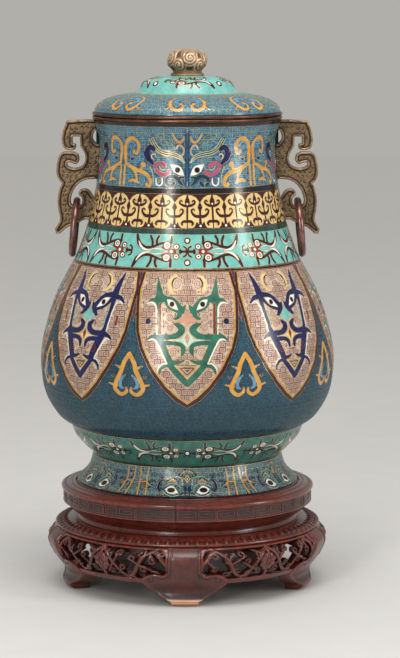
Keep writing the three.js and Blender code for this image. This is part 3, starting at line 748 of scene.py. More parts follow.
# %% [markdown]
# The neck carries two motifs, four times each: a mask with horns, eyes and a scrolled jaw,
# and between the masks a pair of yellow hooks. Each is drawn as a left half and mirrored,
# as the enameller's pattern was. Across is measured from its centre line, and up is the
# height on the vase, so that a motif lands in its band without any fitting.

# %% Neck hooks
def neck_hooks():
    half = strokes([
        ("yellow", [(-2.5, 372), (-2.5, 388.6)], 2.5),
        ("yellow", [(-3.6, 390), (-2.6, 399), (-3.2, 407.6), (-9.5, 413.2), (-15.9, 411.1),
         (-17.9, 405.2), (-15.7, 399.8), (-12.7, 401.2)],
         (2.5, 3.8, 4, 3.8, 3.5, 3, 2.5, 1.8))])
    half += disc("yellow", (-12.7, 401.4), 1.7)
    half += stroke("yellow", [(-4.7, 390.4), (-12.5, 386.9), (-19.1, 385), (-22.6, 389.6)],
        (3, 3.5, 3.2, 1.8))
    half += blob("yellow", [(-22.4, 388), (-20.2, 390.6), (-22.2, 392.6), (-25.2, 391.6),
        (-25, 388.8)])
    half += stroke("yellow", [(-17, 385.4), (-26.3, 382.2), (-30.7, 376.4), (-30.2, 371.9),
        (-27.2, 372.6)], (3.2, 3.5, 3.2, 2.8, 2))
    half += disc("yellow", (-27.4, 373), 1.7)
    half += strokes([
        ("yellow", [(-11.5, 386.9), (-15.7, 381.9), (-16.9, 376.6)], (2.8, 2.5, 2.2)),
        ("yellow", [(-19.6, 374.2), (-14, 376.2), (-8.5, 375.5)], (1.5, 3, 1.5)),
        ("sky", [(-4.6, 404), (-6.2, 409), (-11, 410.2), (-14, 407)], 1.5),
        ("navy", [(-6.4, 396), (-10.4, 394.6), (-13.4, 396)], (1.8, 2.5, 1.2))])
    return both(half)


print("cells in a pair of hooks:", len(neck_hooks()))


# %% Neck mask: horns and brow, then the cheek curl, the eye and the jaw
BROW_LINE = ((-33.5, 413.6, .9, .3), (-28.6, 405.4, .6, .6), (-22.4, 401.4, .2, .8),
             (-15.4, 400.2, 0, .8), (-7.4, 397.6, .2, .6), (-2.8, 392.4, .3, 0))


def neck_mask():
    half = strokes([
        ("yellow", [(-13.4, 418.6), (-10.4, 412.8), (-6.8, 410.4), (-4.1, 412.2), (-2.8, 415.4)],
         (1.2, 2, 2.2, 2, 1.2)),
        ("rose", [(-9.4, 405.4), (-8.2, 407.6), (-5.4, 407.4), (-3.2, 404), (-3.4, 400.8),
         (-5.2, 398.4)], (1.8, 1.5, 1.5, 1.5, 1.6, 1)),
        ("green", [(-28.4, 414), (-24.6, 416.6), (-17, 414.8), (-13.2, 409.8), (-11.6, 405.2)],
         (.8, 1.8, 2.2, 1.8, .8)),
        ("green", [(-24.4, 411.4), (-20.8, 412.2), (-17.6, 409.2)], (.8, 1.4, .8)),
        ("darkgreen", [(-33.5, 413.6), (-28.6, 405.4), (-22.4, 401.4), (-15.4, 400.2),
         (-7.4, 397.6), (-2.8, 392.4)], (3.6, 5.4, 5.8, 5.2, 4, 2))])
    for offset in (-2.2, 0, 2.2):
        half += stroke("mint", [(u + offset * du, v + offset * dv)
                                for u, v, du, dv in BROW_LINE], .7)
    half += strokes([
        ("navy", [(-31, 390.8), (-35.8, 395.8), (-37.6, 400.5), (-36.8, 404.1), (-34.1, 405.8),
         (-31.5, 404.3), (-31, 401.8)], (2.6, 4.8, 5.4, 5.4, 5, 4.2, 2.6)),
        ("navy", [(-41.4, 404.6), (-40.4, 399.4), (-36.6, 394.2)], (.5, 2, 3)),
        ("white", [(-30.6, 395), (-33, 396.8), (-32.8, 399.4), (-30.2, 399.8), (-29.4, 397.8)],
         (.5, .8, .8, .8, .5)),
        ("pink", [(-20.6, 389.4), (-22.6, 391.6), (-26.8, 391.9), (-29.8, 389.5), (-28, 385.6),
         (-24.2, 382.7), (-20, 382), (-17, 383.3), (-16.6, 385.3)],
         (4, 3.6, 3, 3.2, 3.2, 3.4, 3.8, 3.8, 2.8)),
        ("mint", [(-25.4, 389.2), (-23.4, 386.2), (-20, 386.2)], .8)])
    half += fill("white", curve([(-15.6, 391.2), (-10.6, 390.8), (-6.4, 389.2), (-4.2, 386),
        (-2.6, 381)]) + curve([(-7.6, 381.8), (-12.4, 384.6)]))
    half += disc("black", (-8.8, 386.1), 2.5)
    half += strokes([
        ("teal", [(-11.8, 375), (-13.6, 372.6), (-16.6, 372.6), (-18.6, 375.2), (-18, 378.4),
         (-15, 380.2), (-11, 380), (-8.2, 378), (-6.2, 375), (-3.2, 372.2)],
         (3, 3, 3, 3.2, 3.4, 3.6, 3.8, 3.8, 3.2, 1.2)),
        ("teal", [(-8, 378), (-5.2, 380), (-2.6, 379)], (3, 2.6, 1)),
        ("white", [(-28.2, 378.6), (-27.8, 373.8), (-25.2, 372.2), (-22.6, 373.8), (-22.4, 378.6)],
         (1, 1.4, 1.5, 1.4, 1)),
        ("plum", [(-25.4, 378.4), (-25.3, 375.2)], 1),
        ("mint", [(-34.4, 388.4), (-31.6, 382.8), (-30.8, 376)], .7)])
    half += stroke("navy", [(-1.3, 370), (-1.3, 421)], 0.7, round_ends=False)
    return both(half)


print("cells in a neck mask:", len(neck_mask()))

# %% [markdown]
# Round the shoulder runs a row of small crawling creatures between dark lines, some facing
# left and some right. One is drawn lying along the band with its nose at zero, and the
# band repeats it, because the real ones follow one pattern too.

# %% Band creature
def both_sides(cells):
    """The cells and their reflections across the band's middle line."""
    return cells + [(colour, [(u, -v) for u, v in points]) for colour, points in cells]


def creature(body="aubergine", head="red"):
    cells = stroke(body, [(3, 4.3), (.9, 2.6), (.9, -2.6), (3, -4.3)], 1.5)
    cells += fill(body, [(.6, 1), (4.4, 1.2), (5.6, 2.8), (7, 1.2), (7, -1.2), (5.6, -2.8),
        (4.4, -1.2), (.6, -1)])
    upper = disc(body, (17, 5.2), 4.1) + disc(body, (9, 4.2), 2.8)
    upper += strokes([
        (head, [(10, 1), (14.6, 1.2), (20.6, 3.4)], (2.4, 3.4, 2.4)),
        (body, [(13.4, 7), (13.4, 13)], (2.6, 2)),
        (body, [(19, 7.8), (24, 6), (30, 3.6), (36, 3)], (2, 2.3, 2.3, 2.6)),
        (body, [(34, 2.2), (39, 4), (42.4, 7.6), (44.6, 13.4)], (3.4, 4.2, 3.8, 2.2)),
        ("white", [(31, .8), (36.4, 1.6), (40, 4.2), (42.4, 8.2)], (.8, 1.9, 2, .8)),
        (body, [(25.6, 5.4), (26, 9.6), (24.4, 13)], (2.4, 2.2, 2.2)),
        (body, [(29.6, 4), (29.8, 8.6), (31.8, 13)], (2.4, 2.2, 2.2)),
        ("white", [(20.8, 1.4), (26, 2.4), (31, 1.4)], (.5, 1, .5))])
    upper += disc("white", (9, 4.2), 1.9) + disc(body, (9, 4.2), .7)
    upper += disc("white", (17, 5.2), 2.7) + disc(head, (17, 5.2), 1.5)
    upper += disc("white", (17, 5.2), .8)
    cells += both_sides(upper)
    cells += fill("white", [(11.4, 0), (13, 1.7), (14.6, 0), (13, -1.7)])
    return cells


print("cells in a creature:", len(creature()))

# %% A band of them
CREATURES, CREATURE_MM = 12, 47
SHARE_OF_TURN = 360 // CREATURES


def ringed_dot(ring, centre=(0, 0), radius=3.1):
    return disc(ring, centre, radius) + disc("white", centre, radius * 0.55)


def band_of_creatures(inlay, middle, radius, squeeze, dots, body="aubergine", head="red"):
    shape = creature(body, head)
    length = math.radians(SHARE_OF_TURN) * radius / CREATURE_MM
    for number in range(CREATURES):
        start = number * SHARE_OF_TURN
        forward = number % 6 in (0, 1, 3)
        at, sign = (start, 1) if forward else (start + SHARE_OF_TURN, -1)
        placed = [(c, [(sign * u * length, v * squeeze) for u, v in p]) for c, p in shape]
        inlay.put(placed, at, radius, middle)
    for centre in (0, 180):
        for height in dots:
            inlay.put(ringed_dot(body, (0, height)), centre, radius, middle)


print("creatures in a band:", CREATURES)

# %% [markdown]
# The straw-coloured band below the neck is cut through by dark scrolls. A unit is a straw
# ground, and on it the left half of what is dark: a trunk with two arms at its left edge,
# and a trunk with a lozenge and two volutes in its middle. The dark shapes are easier to
# draw than the straw ones between them, which the eye sees first.

# %% Straw scroll band
STRAW_HALF = 11.5


def straw_unit():
    dark, edge = "aubergine", -STRAW_HALF
    half = fill("cream", [(edge, 335), (0, 335), (0, 365), (edge, 365)])
    half += fill(dark, [(edge, 357), (-10.2, 359.2), (-8.1, 361.9), (-4.1, 364), (0, 364.4),
        (0, 365), (edge, 365)])
    half += fill(dark, [(edge, 340.8), (-9.9, 339), (-8.1, 341.2), (-7, 337.6), (-5.2, 335.7),
        (0, 335.4), (0, 335), (edge, 335)])
    half += fill(dark, [(edge, 358), (-10.6, 357), (-9.2, 353.4), (-10.6, 350.4), (-10.6, 345),
        (-10.2, 339.4), (edge, 339.4)])
    half += stroke(dark, [(edge, 345.6), (-7.4, 345.8), (-4.3, 348.6), (-3.9, 351.1),
        (-5.7, 351.9), (-6.7, 350.5)], (3, 2.6, 2, 1.8, 1.6, 1))
    half += fill(dark, [(0, 365), (-.9, 365), (-.9, 362.6), (-2.4, 359), (-2.2, 356.6), (-.9, 354),
        (-.9, 341), (-.5, 340), (-.5, 335), (0, 335)])
    half += strokes([
        (dark, [(-.6, 354.8), (-3.2, 355), (-6, 356.4), (-7, 358.2), (-5.6, 359.5), (-4.5, 358.3)],
         (2.6, 2.4, 2, 1.8, 1.6, 1)),
        (dark, [(-.4, 341.2), (-3.2, 341.2), (-4.9, 339.6), (-4.1, 337.9)], (2.6, 2.6, 2.2, 1.2))])
    return both(half) + disc("white", (0, 356.4), .9) + disc("white", (edge, 337.4), 1.1)


print("cells in a straw unit:", len(straw_unit()))

# %% [markdown]
# Eight pointed panels hang over the belly, four green and four navy figures on a greyish
# rose ground that is filled with fine brown key scrolls. A panel is drawn as three
# outlines, each a little smaller than the one below it, which leaves an aubergine and a
# yellow border. Yellow angular scrolls stand between the panels' points.

# %% Outline of a hanging panel
TAPER_FROM, TIP, TAPER = 250, 187, 64   # heights where the sides lean in, and how far down
EDGE = [(-41.4, 297.6), (-43.6, 282.5), (-42, 268.6), (-39.3, 247.7), (-34.8, 233.9),
        (-26, 216.4), (-16.1, 202.1), (-7, 192.4), (0, 186.4)]


def panel_outline(grow):
    """Half of the panel's edge, moved outward by so many mm."""
    half = []
    for u, v in EDGE:
        lean = 0 if v > TAPER_FROM else (TAPER_FROM - v) / TAPER
        half.append((min(0, u - grow * (1 - lean * 0.3)) if v > TIP else 0,
                     v - grow * lean * 1.25))
    return half


def panel(colour, points):
    return fill(colour, list(points) + [(-u, v) for u, v in points[-2::-1]])


print("a panel hangs from", EDGE[0][1], "down to", EDGE[-1][1], "mm")


# %% What the figures share: nested triangles and curls of fine wire
def nested_triangle(width, top, foot, colours):
    """Triangles one inside the other, in the point of a figure."""
    cells = []
    for number, colour in enumerate(colours):
        shrink = 1 - number / len(colours)
        drop = number * 0.9
        cells += fill(colour, [(-width * shrink, top - drop), (width * shrink, top - drop),
                               (0, foot + (top - foot) * (1 - shrink) * .62)])
    return cells


SPIRAL_TURN, SPIRAL_FADE = 4.6 * math.pi, 16.5      # radians wound, radians to its centre
SPIRALS = (((-9.9, 288.2), 5.0, 1), ((-14.8, 260.6), 3.4, -1), ((-14.2, 251.2), 3.2, 1),
           ((-11.6, 230.6), 4.2, 1))


def spirals_of_wire():
    """Lines for the curls of fine wire on the pale rose, left and right of the middle."""
    lines = []
    for (u, v), size, spin in SPIRALS:
        turns = np.linspace(0, SPIRAL_TURN, 44)
        for side in (1, -1):
            lines.append([(side * (u + size * (1 - t / SPIRAL_FADE) * math.cos(spin * t)),
                           v + size * (1 - t / SPIRAL_FADE) * math.sin(spin * t))
                          for t in turns])
    return lines


def spiral_grounds():
    """Discs of paler rose under the curls."""
    half = []
    for centre, size, _ in SPIRALS:
        half += disc("blush", centre, size + 0.5, 16)
    return half


print("curls in a panel:", len(spirals_of_wire()))


# %% Green figure: arms, shoulders and legs, white outlines, crescent, eye, middle
def green_figure():
    green = "green"
    half = spiral_grounds()
    half += fill(green, curve([(-29.4, 296), (-29.2, 286), (-29.6, 277), (-33, 276),
        (-36.2, 272.4)]) + curve([(-32.6, 273.6), (-29, 272.4), (-26.6, 268), (-25, 256),
        (-24.4, 244)]) + curve([(-21.4, 244), (-21.8, 258), (-22.6, 271), (-18.6, 274), (-21, 278),
        (-24.4, 285)]))
    half += strokes([
        (green, [(-24.4, 277.6), (-19, 276.4), (-13, 275.4), (-8.8, 271.8), (-6, 267.8),
         (-4.2, 265.4)], (6.4, 3.6, 3.4, 3.6, 4.4, 4.4)),
        (green, [(-19.6, 274), (-16.6, 268.6), (-12, 266.4), (-7, 265)], (3, 2.2, 2.2, 3.6))])
    half += fill(green, [(-4.9, 269.4), (-.9, 271.6), (-1.6, 266.5), (-4.2, 263.7), (-4.7, 261.2),
        (-7.7, 258.6), (-10.8, 257.8), (-11.8, 259.8), (-9.4, 261), (-8.6, 263.6)])
    half += strokes([
        (green, [(-24.4, 245), (-20, 235), (-15.8, 226), (-12.6, 220)], (7, 7, 6.4, 5)),
        (green, [(-22.1, 243.8), (-12.4, 243.8), (-6.6, 246.6), (-4.8, 250.6), (-7.6, 253.6),
         (-11.4, 254.9)], (5, 4.8, 5.6, 6.2, 4.4, 1.4)),
        (green, [(-21.5, 238.8), (-10, 238.4), (-4.2, 236.4), (-3.3, 232), (-4.2, 229)],
         (4.4, 3.6, 4, 4, 2.2)),
        (green, [(-14.7, 222.6), (-8.6, 221.8), (-2.6, 223.8)], (4.4, 3.6, 1.4)),
        (green, [(-23.4, 243.6), (-29, 243.8), (-33, 241.2)], (4.6, 3.4, 1.2)),
        (green, [(-12, 219.6), (-17, 219.2), (-20.8, 216.4), (-22, 212)], (4.4, 3.6, 2.8, 1.3)),
        (green, [(-13.6, 219.8), (-7.4, 211.6), (0, 203.2)], 5.2),
        ("red", [(-24.2, 271.4), (-23.2, 258), (-22.4, 246.4)], (2.2, 2.2, 1.8)),
        ("white", [(-36.2, 271.4), (-32.6, 272.4), (-29.2, 271), (-27.2, 267), (-26.2, 255.6),
         (-25.2, 245.8)], (.8, 1.3, 1.5, 1.4, 1.4, 1)),
        ("white", [(-32.6, 239.6), (-29.2, 241.6), (-26.1, 240.4), (-22.6, 234.6), (-19.2, 227.6),
         (-16.2, 221)], (.8, 1.3, 1.5, 1.4, 1.4, 1)),
        ("white", [(-16.2, 221), (-19.8, 220.4), (-22.8, 216.8), (-23.6, 213)],
         (1.2, 1.2, 1.2, .8)),
        ("cream", [(-9.9, 294.6), (-14, 293.6), (-16.8, 290.2), (-17, 286.2), (-15, 282),
         (-11.4, 279.6)], (1, 2.6, 3.2, 3.2, 2.6, 1.2)),
        ("black", [(-9.4, 293.8), (-12.9, 292.5), (-14.8, 288.6), (-13.2, 283.6)],
         (.6, 1.4, 1.4, .6))])
    half += fill("white", curve([(-18.4, 275.2), (-14.2, 274.9), (-11, 272.6), (-7.8, 266.3)])
        + curve([(-12.4, 267.7), (-16.6, 270.4)]))
    half += disc("black", (-13.6, 271.4), 2.3)
    half += disc("navy", (-33.5, 256.6), 2.6)
    centre = fill("salmon", [(0, 267), (2.6, 263.4), (6.2, 259), (11.6, 256.6), (3.4, 256),
        (0, 253.4), (-3.4, 256), (-11.6, 256.6), (-6.2, 259), (-2.6, 263.4)])
    centre += fill("mint", [(-17.4, 241.1), (-5, 242.4), (0, 249.6), (5, 242.4), (17.4, 241.1),
        (5, 239.9), (0, 234.6), (-5, 239.9)])
    centre += fill("salmon", [(0, 247.6), (2, 243.4), (0, 237), (-2, 243.4)])
    centre += nested_triangle(10.4, 219.4, 207.4, ("cream", "rose", "red", "rose", "green"))
    return both(half) + centre


print("cells in the green figure:", len(green_figure()))


# %% Navy figure, on the same plan
def navy_figure():
    navy = "navy"
    half = spiral_grounds()
    half += strokes([
        (navy, [(-29.4, 295.6), (-26.8, 289.4), (-25, 283.4), (-24, 277)], (1.4, 4.4, 6.4, 8)),
        (navy, [(-24.8, 276), (-23.4, 264), (-21.4, 252.6), (-20.2, 244.6)], (5.4, 3.4, 3.4, 5)),
        (navy, [(-24, 277), (-18, 277), (-11.8, 275.2), (-7.6, 270.6), (-4, 266.4)],
         (6, 4.2, 4, 4.4, 4.8)),
        (navy, [(-21.6, 273), (-17, 267.6), (-12, 265.4), (-6, 264)], (3.6, 2.4, 2.6, 4.4))])
    half += fill(navy, [(-4.9, 268.4), (-.8, 270.4), (-1.4, 264.8), (-4.4, 261), (-8.4, 257.8),
        (-11, 258.8), (-9.2, 262)])
    half += strokes([
        (navy, [(-22.9, 275.8), (-31, 275), (-35.8, 271)], (5, 3.8, 1.4)),
        (navy, [(-20.4, 245), (-16.4, 236.5), (-12.6, 227.4), (-10.4, 221)], (6.8, 6.6, 6.2, 5)),
        (navy, [(-18, 244), (-10, 244), (-5.2, 246.8), (-4.2, 250.8), (-8, 254.2)],
         (5, 4.8, 5.4, 5.4, 1.6)),
        (navy, [(-17, 238.6), (-8, 238.6), (-3.6, 236), (-2.9, 231.4)], (4.6, 3.8, 4, 2.2)),
        (navy, [(-12.6, 223), (-7.4, 222.2), (-2.4, 224)], (4.2, 3.4, 1.4)),
        (navy, [(-11.6, 221), (-6, 213.4), (0, 205.4)], 5),
        (navy, [(-18.4, 243), (-24.6, 242.8), (-28.8, 239.6)], (4.8, 3.6, 1.4)),
        (navy, [(-11, 221), (-15.4, 220.2), (-18.6, 216.4), (-19.2, 212.6)], (4.4, 3.6, 2.6, 1.3)),
        ("white", [(-35.4, 269.6), (-31, 272), (-27.8, 269.6), (-25.8, 263.6), (-24.2, 254),
         (-22.8, 246)], (.8, 1.2, 1.3, 1.3, 1.3, .8)),
        ("white", [(-28.2, 238), (-25.2, 240), (-22, 237.4), (-18.4, 230.6), (-14.6, 222.4)],
         (.8, 1.2, 1.3, 1.3, .8)),
        ("white", [(-14.4, 222), (-17.6, 220.8), (-20.4, 216.6)], (1, 1.1, .7)),
        ("cream", [(-7.4, 295), (-13, 292.8), (-16.2, 288), (-14.8, 282.8), (-9.4, 279.8)],
         (1, 2.5, 3, 2.5, 1)),
        ("black", [(-8, 293.6), (-12.2, 291), (-13.8, 287.4), (-12.4, 283.6)],
         (.5, 1.2, 1.2, .5))])
    half += fill("white", curve([(-19.6, 274.4), (-14.6, 274.4), (-11, 272), (-7, 265.4)])
        + curve([(-12, 266.8), (-16.6, 269.6)]))
    half += disc("black", (-13.6, 270.6), 2.2)
    half += strokes([
        ("red", [(-31.6, 258.4), (-31.2, 252)], (2.6, 2)),
        ("turquoise", [(-20.4, 268), (-19.6, 256), (-18.8, 249)], (.8, 1.2, .8))])
    centre = fill("turquoise", [(0, 266), (2.4, 262.8), (6, 258.6), (10, 256.4), (3, 255.6),
        (0, 253), (-3, 255.6), (-10, 256.4), (-6, 258.6), (-2.4, 262.8)])
    centre += fill("cream", [(-13.6, 241.3), (-4, 242.4), (0, 248.6), (4, 242.4), (13.6, 241.3),
        (4, 240.1), (0, 235), (-4, 240.1)])
    centre += fill("red", [(0, 247), (1.8, 243), (0, 237), (-1.8, 243)])
    centre += nested_triangle(8.6, 220.2, 209.4, ("cream", "rose", "navy", "rose", "red"))
    return both(half) + centre


print("cells in the navy figure:", len(navy_figure()))


# %% Standing scroll
def standing_scroll():
    """The angular yellow scroll on the blue, between two panel points."""
    half = strokes([
        ("yellow", [(0, 228.4), (-4.3, 220.5), (-6.4, 213), (-10.1, 205), (-12, 197.7),
         (-7, 192.4), (-2.2, 194.9), (-2, 198.6)], (3.4, 3.6, 3.6, 3.6, 3.4, 3.2, 2.6, 1.8)),
        ("yellow", [(-6, 215.4), (-11.6, 218.2)], (2.6, 1)),
        ("yellow", [(-10.6, 200), (-17.1, 201.8)], (2.8, 1)),
        ("sky", [(-2.8, 209.8), (-6.6, 205.5), (-7.2, 200), (-4.6, 198)], (1, 2.4, 2.6, 1.2))])
    half += disc("red", (-13.6, 208.6), 1.2)
    return both(half)


print("cells in a standing scroll:", len(standing_scroll()))

# %% [markdown]
# The grounds are filled with square key scrolls of fine wire, a few millimetres each. They
# hold the enamel on the metal and give the blue its golden haze. A bump texture could fake
# them, but wire is a raised line that catches the light by itself. Each corner of a scroll
# asks the drawing which enamel lies there, so that the scrolls stop at a motif.

# %% Key scrolls on a ground
KEY = [(.06, .06), (.94, .06), (.94, .94), (.06, .94), (.06, .3), (.7, .3), (.7, .7),
       (.32, .7), (.32, .52), (.5, .52)]


def key_scrolls(inlay, ground, low, high, pitch):
    profile, runs = inlay.profile, []
    rows = max(1, round((high - low) / pitch))
    height = (high - low) / rows
    for row in range(rows):
        base = low + row * height
        radius = np.interp(base + height / 2, profile.arc, profile.points[:, 0])
        count = round(2 * math.pi * radius / pitch)
        width = 2 * HALF_TURN / count
        for number in range(count):
            left = -HALF_TURN + number * width
            flip = (number + row) % 2
            runs.append([(left + width * (1 - u if flip else u),
                          base + height * (1 - v if row % 2 else v)) for u, v in KEY])
    on_ground = colours_at(inlay.cells, np.array(runs).reshape(-1, 2)) == ground
    lines = []
    for run, kept in zip(runs, on_ground.reshape(len(runs), -1)):
        line = []
        for spot, stays in zip(run, kept):
            if stays:
                line.append(spot)
            elif line:
                lines.append(line)
                line = []
        lines.append(line)
    return [line for line in lines if len(line) > 1]


print("corners in a key scroll:", len(KEY))

# %% [markdown]
# Now the vase is drawn from the bottom up: plain bands first, then the panels, then the
# motifs on top of them. A motif is laid out at the mean radius of its zone, which keeps
# its width right where the vase swells or narrows.

# %% Draw the bands
# The belly's ground is the lapis blue drawn darker: painted shade.
# The lowest band is turquoise drawn darker: painted shade.
VASE_BANDS = (("seagreen", 122.1, 148.1), ("black", 148.1, 149.5), ("deepblue", 149.5, 297.6),
              ("red", 297.6, 298.5), ("black", 298.5, 300.2), ("red", 300.2, 301),
              ("turquoise", 301, 330), ("darkgreen", 330, 335), ("aubergine", 335, 365),
              ("black", 365, 370), ("blue", 370, 424), ("black", 424, 427.2))
vase = Inlay(VASE)
for colour, low, high in VASE_BANDS:
    vase.band(colour, low, high)
print("bands:", len(VASE_BANDS))

# %% Draw the belly
BELLY_RADIUS, PANELS, PANEL_TURN = 120, 8, 45
PLUM_STRIP = [(-3.6, 297.6), (3.6, 297.6), (3.4, 274), (0, 256), (-3.4, 274)]
for number in range(PANELS):
    vase.put(fill("plum", PLUM_STRIP), (number + 0.5) * PANEL_TURN, BELLY_RADIUS)
for number in range(PANELS):
    for colour, grow in (("aubergine", 4), ("yellow", 1.2), ("rose", 0)):
        vase.put(panel(colour, panel_outline(grow)), number * PANEL_TURN, BELLY_RADIUS)
    vase.put(standing_scroll(), (number + 0.5) * PANEL_TURN, BELLY_RADIUS)
for number in range(PANELS):
    figure = navy_figure() if number % 2 else green_figure()
    vase.put(figure, number * PANEL_TURN, BELLY_RADIUS)
print("belly cells:", len(vase.cells))

# %% Draw the neck and the bands of creatures and scrolls
NECK_RADIUS, STRAW_RADIUS, STRAW_UNITS = 82, 88, 24
for number in range(4):
    vase.put(neck_mask(), number * 90, NECK_RADIUS)
    vase.put(neck_hooks(), number * 90 + 45, NECK_RADIUS)
band_of_creatures(vase, 315.4, 99, 1, (-9.4, 9.4))
band_of_creatures(vase, 136, 100, 0.75, (0,), "teal", "darkgreen")
for number in range(STRAW_UNITS):
    vase.put(straw_unit(), number * 360 / STRAW_UNITS, STRAW_RADIUS)
print("vase cells:", len(vase.cells))

# %% Wrap the drawing
WALL_MM = 2.2
lining = [(r - n[0] * WALL_MM, z - n[1] * WALL_MM)
          for (r, z), n in list(zip(VASE.points, VASE.normals))[::-3]]
lining = [(85.1, 427.2), (82.9, 427.2)] + lining[1:-1] + [(85.2, 124.3), (85.2, 122.1),
                                                         (87, 122.1)]
drawing = wrapped("enamelled_vase", vase, 0, VASE.length, lining, "vase")
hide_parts("vase_shell")

# %% Lay its wires
lines = border_lines(*drawing)
parting = VASE.at_height(299)
for name, above in (("neck_border_wires", True), ("belly_border_wires", False)):
    chosen = [line for line in lines if (line[0][1] > parting) == above]
    wire_piece(name, VASE, chosen, GILT_WIRE, "vase")
keys = key_scrolls(vase, "blue", VASE.at_height(370.4), VASE.at_height(423.6), 5.2)
wire_piece("neck_key_scrolls", VASE, keys, KEY_WIRE, "vase", FINE_MM, FINE_PROUD)
# The belly's key scrolls take the darker wire: painted shade.
keys = key_scrolls(vase, "deepblue", VASE.at_height(150), VASE.at_height(297), 4.4)
wire_piece("belly_key_scrolls", VASE, keys, SHADED_BELLY_WIRE, "vase", FINE_MM, FINE_PROUD)
keys = key_scrolls(vase, "rose", VASE.at_height(188), VASE.at_height(297), 5.2)
for number in range(PANELS):
    for line in spirals_of_wire():
        keys += vase.around(vase.flat(line, number * PANEL_TURN, BELLY_RADIUS))[:1]
wire_piece("panel_key_scrolls", VASE, keys, COPPER_WIRE, "vase", PANEL_MM, FINE_PROUD)

# %% [markdown]
# The foot flares out below the vase and carries six small masks on key scrolls, with
# slanting yellow bars between them. It is a piece of its own on the real vase, soldered
# on, so it has its own drawing and profile.

# %% Foot motifs
def foot_mask():
    half = strokes([
        ("yellow", [(0, 117.6), (-3.6, 116.8), (-6, 114.4)], (.7, 1, .6)),
        ("yellow", [(-9.6, 108), (-14, 109.8), (-18, 107.8)], (.6, 1.6, .6))])
    half += fill("white", curve([(-7.6, 100), (-12.4, 104.8), (-16.6, 104.6), (-20, 102.4)])
        + curve([(-17, 99.6), (-12.2, 98.6)]))
    half += fill("black", [(-14.2 + 3.5 * math.cos(t), 101.8 + 1.9 * math.sin(t))
                           for t in np.linspace(0, 2 * math.pi, 13)[:-1]])
    half += strokes([
        ("navy", [(-21, 110.4), (-25.4, 107.8), (-26, 103), (-23, 101)], (1, 2.4, 2.4, 1.2)),
        ("turquoise", [(-6, 103.6), (-10.6, 106.8), (-16.6, 106.6), (-20.8, 104)], 0.6),
        ("turquoise", [(-7.4, 98.3), (-12.2, 97), (-17.4, 98.2), (-20.8, 100.6)], 0.6),
        ("turquoise", [(-4.4, 105.6), (-5.4, 111), (-9.6, 112.8), (-15.4, 112.2),
         (-20, 109.8)], 0.6)])
    half += disc("red", (-23.4, 97.6), 1.3)
    half += strokes([
        ("teal", [(-2.4, 108.6), (-1.6, 97)], (.8, 1.6)),
        ("teal", [(-4, 97.6), (-8.6, 96.8)], (1.4, .8))])
    middle = fill("cream", [(0, 114.4), (3, 111), (0, 107.4), (-3, 111)])
    middle += fill("aubergine", [(0, 113.2), (2.1, 111), (0, 108.6), (-2.1, 111)])
    middle += fill("white", [(0, 112), (.9, 111), (0, 109.9), (-.9, 111)])
    return both(half) + middle


def foot_bars():
    half = strokes([
        ("yellow", [(-3.2, 119.8), (-3.4, 110), (-5.8, 97.2)], (1, 1.5, 1.6)),
        ("yellow", [(-11.6, 118.8), (-10.4, 111), (-13.4, 97.6)], (1, 1.4, 1.4)),
        ("yellow", [(-4, 107), (-11, 107.6)], 1.1),
        ("yellow", [(-11.6, 106), (-16, 104.6)], (1.4, .5))])
    half += disc("sky", (-7.4, 112.4), 1.5) + disc("red", (-9, 101.4), 1.1)
    return both(half)


print("cells in a foot mask:", len(foot_mask()))

# %% Draw and wrap the foot
FOOT_RADIUS, FOOT_MASKS, FOOT_TURN = 94, 6, 60
foot = Inlay(FOOT)
# The foot's ground is the same darker blue: painted shade.
for colour, low, high in (("aubergine", 92.8, 96.4), ("deepblue", 96.4, 120.2),
                          ("black", 120.2, 121.8)):
    foot.band(colour, low, high)
for number in range(FOOT_MASKS):
    foot.put(foot_mask(), number * FOOT_TURN, FOOT_RADIUS)
    foot.put(foot_bars(), (number + 0.5) * FOOT_TURN, FOOT_RADIUS)
lining = [(87, 121.8), (85.2, 121.8), (85.4, 112), (91.4, 103.2), (96.6, 99.4), (98.8, 96),
          (99.2, 92.8), (102.2, 92.8)]
drawing = wrapped("enamelled_foot", foot, 0, FOOT.length, lining, "vase")
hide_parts("foot_ring")
wire_piece("foot_border_wires", FOOT, border_lines(*drawing), GILT_WIRE, "vase")
keys = key_scrolls(foot, "deepblue", FOOT.at_height(96.6), FOOT.at_height(120), 3.8)
wire_piece("foot_key_scrolls", FOOT, keys, KEY_WIRE, "vase", FINE_MM, 2 * FINE_PROUD)

# %% [markdown]
# The cover has a broad sloping brim with eight yellow cloud scrolls on blue, and a
# turquoise dome with four of the crawling creatures. On such flat slopes a height says
# little, so the cover is drawn by its distance from the edge along the profile.

# %% Profile of the cover, and the brim's scroll
BRIM = bezier((84.6, 434.1), (83.6, 444.5), (68.6, 448.5), (47.5, 450.9), 18)
DOME = curve([(45.5, 452.3), (41.4, 458.9), (37.3, 462.4), (26.4, 465.6), (15.5, 466.5)])
COVER = Profile(BRIM + DOME)
COVER.at_height = lambda distance: distance
BRIM_LENGTH = Profile(BRIM).length
DOME_START = BRIM_LENGTH + math.hypot(2, 1.4)


